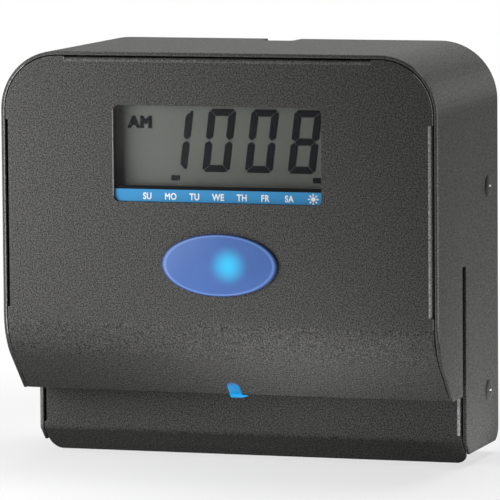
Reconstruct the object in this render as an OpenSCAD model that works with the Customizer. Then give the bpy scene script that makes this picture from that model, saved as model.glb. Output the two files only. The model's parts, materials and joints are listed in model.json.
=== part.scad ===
// Wall-hung time clock: a bottom-feed card printer in a wrapped sheet-steel case.
// Modelled from the front edge (y = 0) and the lowest edge (z = 0), then moved so that
// the origin is the middle of the wall face, with +Z up and the front facing -Y.

/* [Case] */
// Overall width over the side walls
case_w = 184; // [166:1:202]
// Overall height, from the apron's lower edge to the top
case_h = 170; // [153:1:187]
// Depth from the front edge to the wall
case_d = 93; // [84:1:110]
// Outer radius of the two top corners
corner_r = 24; // [12:1:32]
// Thickness of the case and chassis sheet
sheet = 1.5; // [1.2:0.1:1.8]
// Height of the side walls' lower edge
wall_bottom = 4.4; // [3:0.1:6]
// Radius of the walls' lower rear corner
rear_corner_r = 6; // [3:0.5:9]
// Width of the cable notch in the top's rear edge
notch_w = 14; // [8:1:20]
// Depth of the cable notch
notch_d = 12; // [6:1:14]
// Radius of the cable notch's inner corners
notch_r = 2; // [1:0.5:3]

/* [Front panel] */
// Height of the lip's edge
lip_z = 29.3; // [26:0.1:34]
// How far the lip's edge is set back from the front
lip_y = 22.7; // [18:0.1:24]
// Outer radius of the roll between the upright front and the lip
roll_r = 26; // [12:1:30]
// Gap between the panel's flat edges and the case
panel_gap = 0.35; // [0.2:0.05:0.5]
// Gap between a bent flange and the case wall
groove = 0.8; // [0.5:0.1:1.2]
// Outer radius of the sheet bends
bend_r = 2; // [1.9:0.1:3]
// Depth of the panel's flanges
flange_d = 12; // [8:1:14]
// Distance of the top flange's ends from the round corners
top_flange_in = 3.5; // [1:0.5:12]
// Lower end of the panel's side flanges
side_flange_z0 = 65.5; // [64:0.5:72]
// Drop of the side flanges' upper end below the case's top
side_flange_drop = 28; // [26:0.5:36]
// Diameter of the weld projections on the flanges
weld_d = 6; // [4:0.5:8]

/* [Display] */
// Width of the window
window_w = 87.6; // [70:0.2:92]
// Height of the window
window_h = 39; // [30:0.5:42]
// Drop of the window's centre below the case's top
window_drop = 41; // [38:0.5:44]
// Corner radius of the window
window_r = 2.2; // [0.5:0.1:4]
// Thickness of the clear lens
lens_t = 1.5; // [1:0.1:2]
// Overlap of the lens behind the panel
lens_lap = 4; // [2:0.5:5]
// Height of the printed day strip
strip_h = 5.6; // [4:0.1:8]
// Thickness of the printed day strip
strip_t = 0.15; // [0.1:0.05:0.3]
// Gap between the strip and the window's edge
strip_gap = 0.1; // [0.05:0.05:0.3]
// Depth of the display glass's face behind the front
lcd_y = 7.5; // [6:0.1:9]
// Thickness of the display glass
lcd_t = 2.8; // [2:0.1:3.5]
// Overlap of the display glass beyond the window
lcd_lap = 5; // [3:0.5:6]
// Rim of the display holder around the glass
holder_rim = 7.5; // [7:0.5:9]
// Height of the rubber contact strips
contact_t = 1.7; // [1.2:0.1:2.5]
// Width of the rubber contact strips
contact_w = 3; // [2:0.5:4]
// Thickness of the circuit boards
board_t = 1.6; // [1.2:0.1:2]
// Thread diameter of the display studs
stud_d = 3; // [2.5:0.1:3.5]
// Distance of a stud from the holder's edges
stud_in = 3.6; // [3.2:0.1:4]

/* [Badge and pointer] */
// Width of the oval badge
badge_w = 49; // [30:1:60]
// Height of the oval badge
badge_h = 25.4; // [16:0.2:30]
// Thickness of the badge at its rim
badge_rim_t = 0.8; // [0.5:0.1:1.2]
// Height of the badge's dome above its rim
badge_dome = 0.9; // [0.3:0.1:1.5]
// Gap between the window and the badge
badge_gap = 12.2; // [8:0.2:14]
// Sideways place of the badge's middle
badge_x = 1; // [-5:0.5:5]
// Width of the pointer's notch in the lip
pointer_w = 5.4; // [4:0.2:7]
// Length of the pointer's notch up the lip
pointer_len = 7.6; // [5:0.2:9]
// Clearance around the pointer in its notch
pointer_gap = 0.1; // [0.05:0.05:0.2]
// Flange of the pointer behind the lip
pointer_lap = 3; // [2:0.5:4]
// Thickness of the pointer's flange
pointer_flange_t = 1.2; // [1:0.1:2]
// Diameter of the pointer's lamp
lamp_d = 3; // [2:0.5:4]
// Length of the pointer's lamp
lamp_len = 4; // [3:0.5:5]

/* [Card throat] */
// Set-back of the guide plate's face from the front
throat_y = 42; // [41:0.5:44]
// Width of the card throat and of the side slits
throat_gap = 5; // [4.4:0.1:6]
// Height of the side slits' upper end
throat_top = 82; // [78:0.5:83]
// Height of the apron's bend
apron_z = 10; // [8:0.5:12]
// Outer radius of the apron's bend
apron_bend_r = 3; // [2:0.5:4]
// Corner radius of the apron's tab
tab_r = 5; // [2:0.5:8]
// Lower end of the guide plate's side flanges
guide_flange_z0 = 12.6; // [12:0.1:16]
// Height of the guide plate's upper edge
guide_top = 122; // [119:1:130]
// Width of the guide plate's rear return flanges
return_w = 12; // [10:0.5:16]
// Height of the chute plate's upper edge
chute_top = 108; // [106:1:114]
// Gap between the chute plate's edges and the guide flanges' plane
chute_gap = 1.2; // [0.8:0.1:2]
// Distance between the lip and the chute plate's lower flange
chute_lip_gap = 0.8; // [0.5:0.1:1]
// Diameter of the chute spacers
spacer_d = 7; // [6:0.5:8]
// Sideways distance of the chute spacers from the middle
spacer_x = 74; // [72:0.5:80]
// Height of the lower chute spacers
spacer_z = 89; // [87:0.5:92]
// Vertical distance between the chute spacers
spacer_pitch = 12; // [10:0.5:14]

/* [Print head] */
// Thickness of the head's substrate
head_t = 2; // [1.5:0.1:3]
// Height of the head's print ridge
ridge_h = 0.4; // [0.2:0.1:0.6]
// Gap between the print ridge and the platen roller
nip_gap = 0.3; // [0.2:0.05:0.5]
// Length of the head's substrate
head_len = 88; // [70:1:90]
// Height of the head's substrate
head_h = 14; // [10:0.5:18]
// Thickness of the heat sink
sink_t = 8; // [6:0.5:9]
// Height of the heat sink
sink_h = 20; // [19:0.5:22]
// Overhang of the heat sink past the head at each end
sink_over = 2; // [1:0.5:3]
// Height of the head's pivot above the print line
pivot_rise = 28; // [27:0.5:29]
// Distance of the pivot in front of the head bracket
pivot_fore = 3.5; // [3.2:0.1:4]
// Diameter of the head's pivot shaft
pivot_d = 4; // [3:0.1:4.5]
// Half length of the head bracket
bracket_x = 54; // [52:0.5:56]
// Side play between the head bracket and the yoke
bracket_play = 0.5; // [0.3:0.1:0.8]
// Width of the yoke's feet
foot_w = 12; // [10:0.5:13]
// Half height of the yoke's feet, and drop of the yoke below the print line
yoke_half = 8; // [7.5:0.5:9]
// Length of the head springs
spring_len = 11.5; // [10:0.5:13]
// Mean diameter of the head springs
spring_d = 6.6; // [6:0.1:8]
// Wire diameter of the head springs
wire_d = 0.8; // [0.6:0.1:1]
// Sideways distance of the head springs from the middle
spring_x = 30; // [20:1:40]
// Turns of a head spring
spring_turns = 5; // [4:1:6]
// Gap at each end of a head spring
spring_gap = 0.05; // [0.02:0.01:0.1]

/* [Platen drive] */
// Diameter of the platen roller
platen_d = 20; // [19:0.5:21]
// Length of the platen roller
platen_len = 96; // [80:1:98]
// How far the roller stands proud of the guide plate
platen_proud = 0.3; // [0.1:0.05:0.5]
// Height of the print line
platen_z = 62; // [61:0.5:63]
// Clearance of the roller in the guide plate's opening
platen_gap = 1; // [0.6:0.1:1.5]
// Diameter of the platen shaft
shaft_d = 6; // [4:0.5:7]
// Inner half width of the mechanism frame
frame_x = 53; // [52:0.5:56]
// Height of the mechanism frame's upper edge above the print line
frame_rise = 49; // [48:0.5:51]
// Depth of the mechanism frame behind the guide plate
frame_depth = 36; // [35:0.5:38]
// Wall of the platen bushes
bush_wall = 2; // [1.5:0.1:2.5]
// Length of the platen bushes inside the frame
bush_inner = 1; // [0.5:0.1:1.5]
// Running clearance of shafts in their bores, on the radius
run_fit = 0.06; // [0.03:0.01:0.1]
// Module of the gears
gear_module = 0.6; // [0.58:0.01:0.61]
// Teeth of the platen gear
platen_teeth = 24; // [22:1:24]
// Teeth of the idler gear
idler_teeth = 36; // [34:1:37]
// Teeth of the motor pinion
pinion_teeth = 14; // [12:1:15]
// Width of the gears
gear_w = 6; // [4:0.5:8]
// Gap between the gears and what stands beside them
gear_gap = 0.4; // [0.3:0.1:0.6]
// Thinning of each tooth for running play
tooth_play = 0.08; // [0.05:0.01:0.12]
// Direction from the platen to the idler
idler_angle = 65; // [60:1:68]
// Direction from the idler to the motor
motor_angle = 80; // [78:1:82]
// Diameter of the idler's stud
idler_stud_d = 4; // [3:0.5:5]
// Diameter of the motor
motor_d = 28; // [24:0.5:30]
// Length of the motor
motor_len = 22; // [18:1:26]
// Diameter of the motor's shaft
motor_shaft_d = 3; // [2:0.5:3.5]
// Distance between the motor's two screws
motor_pitch = 34; // [34:0.5:36]
// Turn of the line through the motor's two screws
motor_turn = -55; // [-58:1:-52]

/* [Card flag] */
// Sideways place of the card flag
flag_x = -20; // [-22:1:-16]
// Height of the flag's pivot above the print line
flag_rise = 31; // [30:0.5:32]
// Distance of the flag's pivot behind the guide plate
flag_back = 5; // [4.8:0.1:5.4]
// Diameter of the flag's pin
flag_pin_d = 2.5; // [2:0.1:3]
// Diameter of the flag's hub
flag_hub_d = 7; // [6:0.5:7.5]
// Length of the flag's hub
flag_hub_len = 10; // [8:0.5:12]
// Thickness of the flag's arms
flag_t = 3; // [2:0.5:4]
// Reach of the flag's finger in front of its pivot
finger_reach = 10; // [9:0.2:10.4]
// Drop of the flag's finger below its pivot
finger_drop = 16; // [15:0.2:16.6]
// Length of the flag's blade behind its pivot
blade_len = 18; // [16:0.5:19]
// Rise of the flag bracket's base above the pivot
flag_base_up = 10; // [8:0.5:12]
// Thickness of the flag bracket's sheet
ear_t = 1.2; // [1:0.1:1.5]

/* [Electronics] */
// Width of the main board
board_w = 104; // [96:1:110]
// Gap between the mechanism frame and the main board
board_gap = 3; // [1:0.5:4]
// Drop of the main board's upper edge below the case's top
board_drop = 6; // [4:0.5:8]
// Length of the board's standoffs
standoff_len = 10; // [8:0.5:12]
// Across-flats size of the standoffs
standoff_af = 6; // [5:0.5:7]
// Diameter of the board's screws
screw_d = 3; // [2.5:0.1:3.2]
// Diameter of the small screw heads
head_d = 5.5; // [5:0.1:6]
// Height of the small screw heads
head_hh = 2; // [1.5:0.1:2.4]
// Diameter of the backup cell
cell_d = 20; // [16:0.5:21]
// Thickness of the backup cell
cell_t = 3.2; // [2.5:0.1:4]
// Travel of a setting button
button_travel = 0.5; // [0.3:0.1:0.8]
// Spacing of the setting buttons
button_pitch = 10; // [9:0.5:11]
// Side of the square chip
chip_w = 14; // [10:0.5:15]
// Thickness of the chips
chip_t = 1.6; // [1:0.1:2]
// Diameter of the capacitors
can_d = 10; // [6:0.5:10]
// Height of the capacitors
can_len = 14; // [10:0.5:18]
// Diameter of the buzzer
buzzer_d = 12; // [9:0.5:12]
// Height of the buzzer
buzzer_h = 8; // [5:0.5:10]
// Width of the ribbon's plugs
plug_w = 22; // [18:0.5:25]
// Height of the ribbon's plugs
plug_h = 6; // [5:0.5:8]
// Depth of the ribbon's plugs
plug_t = 5; // [4:0.5:7]
// Width of the display ribbon
ribbon_w = 20; // [12:1:24]
// Thickness of the display ribbon
ribbon_t = 0.8; // [0.5:0.1:1]

/* [Fixing] */
// Diameter of the case screws
case_screw_d = 4; // [3:0.5:5]
// Diameter of the case screws' heads
case_head_d = 8.6; // [7:0.2:10]
// Height of the case screws' rims
case_rim_h = 0.9; // [0.6:0.1:1.2]
// Height of the case screws' domes
case_dome_h = 0.8; // [0.4:0.1:1.2]
// Distance of the case screws in front of the wall
case_screw_back = 16.4; // [14:0.2:20]
// Height of the lower case screws
case_screw_z = 27; // [24:0.5:32]
// Vertical distance between the case screws
case_screw_pitch = 84.5; // [80:0.5:88]
// Half the distance between the wall holes
wall_hole_x = 60; // [58:0.5:66]
// Height of the keyholes' screw seats above the wall face's middle
keyhole_rise = 52; // [48:1:56]
// Diameter of a keyhole's entry
keyhole_d = 9; // [8:0.5:10]
// Width of a keyhole's slot and of the lower wall holes
wall_screw_d = 5; // [4:0.5:6]
// Length of a keyhole's slot
keyhole_len = 9; // [7:0.5:12]
// Drop of the lower wall holes below the wall face's middle
wall_hole_drop = 52; // [48:1:56]

/* [Hidden] */
$fn = 64;
eps = 1;
fine = 0.01;
slope = 45;
root2 = sqrt(2);
half_w = case_w / 2;
in_x = half_w - sheet;
flange_x = in_x - groove;
panel_x = in_x - panel_gap;
top_z = case_h - sheet;
flange_top = top_z - groove;
mid_z = case_h / 2;
top_flange_w = case_w - 2 * (corner_r + top_flange_in);
side_flange_z1 = case_h - side_flange_drop;
window_z = case_h - window_drop;
badge_z = window_z - window_h / 2 - badge_gap - badge_h / 2;

// Roll and lip of the front
slope_z = lip_z + lip_y;
roll_z = slope_z + roll_r * tan(slope / 2);

// Planes of the chassis, from front to back
guide_back = throat_y + sheet;
chute_back = throat_y - throat_gap;
chute_front = chute_back - sheet;
plate_front = case_d - sheet;
return_front = plate_front - sheet;
floor_rise = 0.8;
floor_z = wall_bottom + floor_rise;
floor_front = throat_y + apron_z - floor_z + sheet * root2 + panel_gap;
plate_x = in_x - panel_gap;

// Planes of the display, from front to back
lens_back = sheet + lens_t;
lcd_back = lcd_y + lcd_t;
display_front = lcd_back + contact_t;
display_back = display_front + board_t;
lcd_w = window_w + 2 * lcd_lap;
lcd_h = window_h + 2 * lcd_lap;
lcd_gap = 0.2;
holder_w = lcd_w + 2 * holder_rim;
holder_h = lcd_h + 2 * holder_rim;
stud_x = holder_w / 2 - stud_in;
stud_z = holder_h / 2 - stud_in;
nut_h = 2.4;
nut_d = 6;
stud_over = 1;
stud_tip = display_back + nut_h + stud_over;

// Platen and gears
platen_r = platen_d / 2;
platen_y = throat_y - platen_proud + platen_r;
gear_stand = 3.5;
gear_x = frame_x + sheet + gear_stand;
idler_dist = gear_module * (platen_teeth + idler_teeth) / 2;
motor_dist = gear_module * (idler_teeth + pinion_teeth) / 2;
idler_y = platen_y + idler_dist * cos(idler_angle);
idler_z = platen_z + idler_dist * sin(idler_angle);
motor_y = idler_y + motor_dist * cos(motor_angle);
motor_z = idler_z + motor_dist * sin(motor_angle);
idler_phase = meshed(idler_angle, 0, platen_teeth, idler_teeth);
pinion_phase = meshed(motor_angle, idler_phase, idler_teeth, pinion_teeth);
pressure = 25;
flank_steps = 6;
root_depth = 1.25;
opening_h = 2 * (sqrt(platen_r * platen_r - pow(platen_y - guide_back, 2)) + platen_gap);
bush_flange_t = 1;
bush_r = shaft_d / 2 + bush_wall;
bush_flange_d = 2 * (bush_r + bush_flange_t);
clip_t = 0.8;
clip_r = 1.8;
frame_top = platen_z + frame_rise;
frame_back = guide_back + frame_depth;
frame_drop = 16;
frame_bottom = platen_z - frame_drop;
frame_foot_w = 12;
frame_foot_h = 7;
frame_screw_z = [frame_bottom + frame_foot_h / 2, frame_top - frame_foot_w];
boss_r = 5;
boss_h = sheet;
motor_screw_d = 3;

// Print head stack, from the roller to the front
ridge_y = throat_y - platen_proud - nip_gap;
head_back = ridge_y - ridge_h;
sink_back = head_back - head_t;
bracket_back = sink_back - sink_t;
bracket_front = bracket_back - sheet;
pivot_y = bracket_front - pivot_fore;
pivot_z = platen_z + pivot_rise;
lug_r = 6;
bracket_bottom = platen_z - sink_h / 2;
web_back = bracket_front - spring_len;
web_front = web_back - sheet;
yoke_x = bracket_x + bracket_play;
yoke_bottom = platen_z - yoke_half;
yoke_top = pivot_z + yoke_half;
web_h = 16;
foot_z0 = pivot_z - yoke_half;
foot_screw_x = yoke_x + sheet + foot_w / 2;
peg_gap = 0.4;
peg_r = spring_d / 2 - wire_d / 2 - peg_gap;
peg_h = 1.6;
head_gap = 4;
sink_len = head_len + 2 * sink_over;

// Card flag
flag_y = guide_back + flag_back;
flag_z = platen_z + flag_rise;
flag_play = 0.5;
ear_x = flag_hub_len / 2 + flag_play;
flag_base_t = 1.2;
flag_slot_gap = 1;
flag_slot_under = 5;
flag_slot_drop = 3;
flag_slot_w = flag_t + 2 * flag_slot_gap;
flag_slot_z0 = flag_z - finger_drop - flag_slot_under;
flag_slot_z1 = flag_z - flag_slot_drop;
sensor_len = 10;
sensor_h = 12;
sensor_slot_h = 9;
sensor_lap = 6.5;
sensor_y = flag_y + blade_len - sensor_lap;
shelf_drop = 9;
shelf_z = flag_z - shelf_drop;
blade_h = 5;
flag_base_top = flag_z + flag_base_up;
flag_ear_up = 4;
flag_ear_down = 5;
flag_pin_over = 0.8;

// Main board
board_z = frame_top + board_gap;
board_top = case_h - board_drop;
standoff_in = 5;
standoff_x = board_w / 2 - standoff_in;
board_back = plate_front - standoff_len;
board_front = board_back - board_t;
button_drop = 8;
button_z = board_top - button_drop;
button_x0 = 16;
switch_w = 6;
switch_h = 3.5;
plunger_d = 3.4;
plunger_len = 7.5;
cap_d = 6;
cap_t = 2;
button_gap = 0.3;
switch_floor = 1.2;
cell_x = -31;
cell_z = (board_z + board_top) / 2;
cell_wall = 2;
cell_gap = 0.1;
buzzer_x = 6;
buzzer_z = board_z + 8;
buzzer_port = 2;
jack_x = 21;
jack_z = board_z + 8;
jack_size = [14, 11, 9];
jack_bore_d = 6;
jack_pin_d = 2;
jack_depth = 10;
plug_z = board_top - button_drop;
chip_x = -9;
chip_z = board_z + 9;
driver_size = [10, chip_t, 8];
driver_x = 20;
driver_z = board_z + 17;
can_x = [34, 44.5];
can_z = board_z + 15;
ribbon_lift = 6;
ribbon_display_z = window_z + ribbon_lift;
ribbon_rise = 12;

// Case fixing
screw_gap = 0.3;
thread_gap = 0.03;
nut_flange_d = 8;
nut_neck_d = 6;
nut_depth = 4;
case_screw_y = case_d - case_screw_back;
case_screw_tip = 9;
chassis_screw_in = 1;
chassis_screw_x = flange_x - return_w / 2 - chassis_screw_in;
chassis_screw_z = [40, 100];

// Moves the model from the front and lowest edges to the wall face's middle
module placed() {
    translate([0, -case_d, -mid_z])
        children();
}

// Extrudes a drawing in (y, z) from x0 over a length along +X
module along_x(x0, length) {
    translate([x0, 0, 0])
        rotate([90, 0, 90])
            linear_extrude(length)
                children();
}

// Extrudes a drawing in (x, z) from y0 over a length along +Y
module along_y(y0, length) {
    translate([0, y0 + length, 0])
        rotate([90, 0, 0])
            linear_extrude(length)
                children();
}

// A round bar or bore along X
module bar_x(x0, length, y, z, d) {
    translate([x0, y, z])
        rotate([0, 90, 0])
            cylinder(d = d, h = length);
}

// A round bar or bore along Y
module bar_y(x, y0, length, z, d) {
    translate([x, y0, z])
        rotate([-90, 0, 0])
            cylinder(d = d, h = length);
}

// A box from its lower corner to its upper corner
module block(low, high) {
    translate(low)
        cube(high - low);
}

// The same shape on both sides of the middle
module both_sides() {
    children();
    mirror([1, 0, 0])
        children();
}

// Outline in (x, z) with two round top corners
module arch(half, bottom, top, r) {
    translate([-half, bottom])
        square([2 * half, top - r - bottom]);
    translate([-half + r, bottom])
        square([2 * (half - r), top - bottom]);
    for (side = [-1, 1])
        translate([side * (half - r), top - r])
            circle(r);
}

// Rectangle about a centre in (x, z) with round corners
module round_rect(w, h, r) {
    square([w, h - 2 * r], center = true);
    square([w - 2 * r, h], center = true);
    for (sx = [-1, 1], sz = [-1, 1])
        translate([sx * (w / 2 - r), sz * (h / 2 - r)])
            circle(r);
}

// Area in (y, z) behind the rolled front, set in by a wall
module behind_front(inset) {
    r = roll_r - inset;
    edge = inset * root2;
    translate([roll_r, roll_z])
        circle(r);
    polygon([
        [inset, case_h + eps],
        [inset, roll_z],
        [roll_r, roll_z],
        [roll_r - r * cos(slope), roll_z - r * sin(slope)],
        [slope_z + edge, 0],
        [case_d, 0],
        [case_d, case_h + eps]
    ]);
}

// Area in (y, z) of a side wall
module wall_outline() {
    intersection() {
        behind_front(0);
        union() {
            translate([0, lip_z])
                square([throat_y + eps, case_h]);
            polygon([
                [throat_y, case_h],
                [throat_y, apron_z],
                [throat_y + apron_z - wall_bottom, wall_bottom],
                [case_d - rear_corner_r, wall_bottom],
                [case_d - rear_corner_r, wall_bottom + rear_corner_r],
                [case_d, wall_bottom + rear_corner_r],
                [case_d, case_h]
            ]);
            translate([case_d - rear_corner_r, wall_bottom + rear_corner_r])
                circle(rear_corner_r);
        }
    }
}

// A quarter bend of sheet about the Z axis, from the front face round to +X
module bend_quarter() {
    difference() {
        circle(bend_r);
        circle(bend_r - sheet);
        translate([-2 * bend_r, -2 * bend_r])
            square([2 * bend_r, 4 * bend_r]);
        translate([-2 * bend_r, 0])
            square([4 * bend_r, 2 * bend_r]);
    }
}

// A pan-head screw along +Y whose head's seat is at y0
module screw_y(x, y0, z, length, d) {
    bar_y(x, y0, length, z, d);
    bar_y(x, y0 - head_hh, head_hh, z, head_d);
}

// Case
module case_wrap() {
    color("dimgray")
        placed()
            difference() {
                intersection() {
                    along_y(0, case_d)
                        difference() {
                            arch(half_w, 0, case_h, corner_r);
                            arch(in_x, -eps, top_z, corner_r - sheet);
                        }
                    along_x(-half_w - eps, case_w + 2 * eps)
                        wall_outline();
                }
                block([-half_w - eps, chute_back, 0], [half_w + eps, throat_y, throat_top]);
                for (z = [case_screw_z, case_screw_z + case_screw_pitch])
                    bar_x(-half_w - eps, case_w + 2 * eps, case_screw_y, z, case_screw_d + 2 * screw_gap);
                translate([0, case_d, top_z - eps])
                    linear_extrude(sheet + 2 * eps)
                        round_rect(notch_w, 2 * notch_d, notch_r);
            }
}

// Flat of the front panel, following the roll down to the lip
module panel_skin() {
    intersection() {
        along_y(-eps, case_d)
            arch(panel_x, 0, top_z - panel_gap, corner_r - sheet - panel_gap);
        along_x(-half_w, case_w)
            intersection() {
                difference() {
                    behind_front(0);
                    behind_front(sheet);
                }
                polygon([
                    [-eps, case_h],
                    [-eps, lip_z - lip_y - eps],
                    [lip_y, lip_z],
                    [lip_y + case_d, lip_z + case_d],
                    [case_d, case_h]
                ]);
            }
    }
}

module side_flange() {
    length = side_flange_z1 - side_flange_z0;
    translate([flange_x - bend_r, bend_r, side_flange_z0])
        linear_extrude(length)
            bend_quarter();
    block([flange_x - sheet, bend_r, side_flange_z0], [flange_x, flange_d, side_flange_z1]);
    for (z = [side_flange_z0 + weld_d, side_flange_z1 - weld_d])
        bar_x(flange_x, groove, flange_d / 2 + bend_r / 2, z, weld_d);
}

module top_flange() {
    translate([-top_flange_w / 2, bend_r, flange_top - bend_r])
        rotate([0, -90, 180])
            linear_extrude(top_flange_w)
                mirror([0, 1])
                    bend_quarter();
    block([-top_flange_w / 2, bend_r, flange_top - sheet], [top_flange_w / 2, flange_d, flange_top]);
    for (side = [-1, 1])
        translate([side * (top_flange_w / 2 - weld_d), flange_d / 2 + bend_r / 2, flange_top])
            cylinder(d = weld_d, h = groove);
}

// Places a drawing frame on the lip: u up the slope from the lip's edge, w out of the face
module on_lip() {
    translate([0, lip_y, lip_z])
        rotate([slope + 90, 0, 0])
            children();
}

// Outline of the pointer's notch in (x, u)
module pointer_outline(w, length) {
    translate([-w / 2, -eps])
        square([w, length - w / 2 + eps]);
    translate([0, length - w / 2])
        circle(d = w);
}

module front_panel() {
    color("dimgray")
        placed() {
            difference() {
                panel_skin();
                both_sides()
                    block([flange_x - bend_r, -eps, side_flange_z0], [half_w, flange_d, side_flange_z1]);
                block([-top_flange_w / 2, -eps, flange_top - bend_r], [top_flange_w / 2, flange_d, case_h]);
                along_y(-eps, sheet + 2 * eps)
                    translate([0, window_z])
                        round_rect(window_w, window_h, window_r);
                on_lip()
                    translate([0, 0, -2 * sheet])
                        linear_extrude(4 * sheet)
                            pointer_outline(pointer_w, pointer_len);
            }
            both_sides()
                side_flange();
            top_flange();
        }
}

// Area in (y, z) of the apron's bend and tab, in front of a plane set in by a wall
module guide_profile(inset, top) {
    r = apron_bend_r - inset;
    tangent = apron_bend_r * tan(slope / 2);
    centre = [throat_y + apron_bend_r, apron_z + tangent];
    translate(centre)
        circle(r);
    polygon([
        [throat_y + inset, top],
        [throat_y + inset, centre[1]],
        centre,
        centre - r * [cos(slope), sin(slope)],
        [throat_y + apron_z + inset * root2 + 2 * eps, -2 * eps],
        [case_d, -2 * eps],
        [case_d, top]
    ]);
}

// Outline of the guide plate seen from the front, with the tab's round corners
module guide_face() {
    half = panel_x;
    translate([-half, tab_r])
        square([2 * half, guide_top - tab_r]);
    translate([-half + tab_r, 0])
        square([2 * (half - tab_r), guide_top]);
    for (side = [-1, 1])
        translate([side * (half - tab_r), tab_r])
            circle(tab_r);
}

module guide_flange() {
    length = guide_top - guide_flange_z0;
    translate([flange_x - bend_r, throat_y + bend_r, guide_flange_z0])
        linear_extrude(length)
            bend_quarter();
    difference() {
        union() {
            block([flange_x - sheet, throat_y + bend_r, guide_flange_z0], [flange_x, plate_front, guide_top]);
            block([flange_x - return_w, return_front, guide_flange_z0], [flange_x, plate_front, guide_top]);
        }
        for (z = [case_screw_z, case_screw_z + case_screw_pitch])
            bar_x(flange_x - sheet - eps, sheet + 2 * eps, case_screw_y, z, nut_neck_d);
        for (z = chassis_screw_z)
            bar_y(chassis_screw_x, return_front - eps, sheet + 2 * eps, z, screw_d + 2 * thread_gap);
    }
}

module guide_plate() {
    color("dimgray")
        placed() {
            difference() {
                intersection() {
                    along_x(-half_w, case_w)
                        intersection() {
                            difference() {
                                guide_profile(0, guide_top);
                                guide_profile(sheet, guide_top + eps);
                            }
                            polygon([
                                [0, guide_top],
                                [0, -throat_y - apron_z],
                                [throat_y + apron_z, 0],
                                [throat_y + apron_z + case_d, case_d]
                            ]);
                        }
                    along_y(0, case_d)
                        guide_face();
                }
                both_sides()
                    block([flange_x - bend_r, 0, guide_flange_z0], [half_w, case_d, case_h]);
                along_y(throat_y - eps, sheet + 2 * eps)
                    translate([0, platen_z])
                        square([platen_len + 2 * platen_gap, opening_h], center = true);
                block(
                    [flag_x - flag_slot_w / 2, 0, flag_slot_z0],
                    [flag_x + flag_slot_w / 2, case_d, flag_slot_z1]
                );
                for (side = [-1, 1]) {
                    for (z = [spacer_z, spacer_z + spacer_pitch])
                        bar_y(side * spacer_x, 0, case_d, z, screw_d + 2 * thread_gap);
                    for (z = frame_screw_z)
                        bar_y(side * frame_foot_x(), 0, case_d, z, screw_d + 2 * thread_gap);
                }
            }
            both_sides()
                guide_flange();
        }
}

// Area in (y, z) of the back plate's bend and floor, set in by a wall
module plate_profile(inset) {
    r = rear_corner_r - inset;
    centre = [case_d - rear_corner_r, floor_z + rear_corner_r];
    translate(centre)
        circle(r);
    translate([0, floor_z + inset])
        square([centre[0], case_h]);
    translate([0, centre[1]])
        square([case_d - inset, case_h]);
}

module keyhole() {
    bar_y(0, plate_front - eps, sheet + 2 * eps, -keyhole_len, keyhole_d);
    bar_y(0, plate_front - eps, sheet + 2 * eps, 0, wall_screw_d);
    block(
        [-wall_screw_d / 2, plate_front - eps, -keyhole_len],
        [wall_screw_d / 2, case_d + eps, 0]
    );
}

module back_plate() {
    color("silver")
        placed()
            difference() {
                intersection() {
                    along_y(0, case_d)
                        arch(plate_x, 0, top_z - panel_gap, corner_r - sheet - panel_gap);
                    along_x(-half_w, case_w)
                        difference() {
                            plate_profile(0);
                            plate_profile(sheet);
                            square([floor_front, case_h]);
                        }
                }
                for (side = [-1, 1]) {
                    translate([side * wall_hole_x, 0, mid_z + keyhole_rise])
                        keyhole();
                    bar_y(side * wall_hole_x, 0, case_d + eps, mid_z - wall_hole_drop, wall_screw_d);
                    for (z = chassis_screw_z)
                        bar_y(side * chassis_screw_x, 0, case_d + eps, z, screw_d + 2 * thread_gap);
                }
                at_standoffs()
                    bar_y(0, plate_front - eps, sheet + 2 * eps, 0, screw_d + 2 * thread_gap);
                translate([-notch_w / 2, plate_front - eps, top_z - notch_d])
                    cube([notch_w, sheet + 2 * eps, notch_d]);
            }
}

module case_screw() {
    bar_x(half_w - case_screw_tip, case_screw_tip, case_screw_y, 0, case_screw_d);
    difference() {
        union() {
            bar_x(half_w, case_rim_h, case_screw_y, 0, case_head_d);
            translate([half_w + case_rim_h, case_screw_y, 0])
                rotate([0, 90, 0])
                    cylinder(d1 = case_head_d, d2 = case_head_d / 2, h = case_dome_h);
        }
        for (turn = [0, 90])
            translate([half_w + case_rim_h + case_dome_h, case_screw_y, 0])
                rotate([turn, 0, 0])
                    cube([2 * case_dome_h, case_head_d / 3, case_head_d / 10], center = true);
    }
}

module case_screws() {
    color("dimgray")
        placed()
            both_sides()
                for (z = [case_screw_z, case_screw_z + case_screw_pitch])
                    translate([0, 0, z])
                        case_screw();
}

module clinch_nuts() {
    color("silver")
        placed()
            both_sides()
                for (z = [case_screw_z, case_screw_z + case_screw_pitch])
                    difference() {
                        union() {
                            bar_x(flange_x - sheet - nut_depth, nut_depth, case_screw_y, z, nut_flange_d);
                            bar_x(flange_x - sheet, groove + sheet, case_screw_y, z, nut_neck_d - 2 * fine);
                        }
                        bar_x(0, half_w, case_screw_y, z, case_screw_d + 2 * thread_gap);
                    }
}

module chassis_screws() {
    color("silver")
        placed()
            for (side = [-1, 1], z = chassis_screw_z)
                screw_y(side * chassis_screw_x, return_front, z, 2 * sheet - panel_gap, screw_d);
}

// Display
module window_lens() {
    color("lightgray", 0.4)
        placed()
            along_y(sheet, lens_t)
                translate([0, window_z])
                    square([window_w + 2 * lens_lap, window_h + 2 * lens_lap], center = true);
}

module day_strip() {
    color("royalblue")
        placed()
            along_y(sheet - strip_t, strip_t)
                intersection() {
                    translate([0, window_z])
                        round_rect(window_w - 2 * strip_gap, window_h - 2 * strip_gap, window_r);
                    translate([-window_w / 2, window_z - window_h / 2])
                        square([window_w, strip_h]);
                }
}

module lcd_glass() {
    color("darkseagreen")
        placed()
            along_y(lcd_y, lcd_t)
                translate([0, window_z])
                    square([lcd_w, lcd_h], center = true);
}

module at_studs() {
    for (sx = [-1, 1], sz = [-1, 1])
        translate([sx * stud_x, 0, window_z + sz * stud_z])
            children();
}

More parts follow.
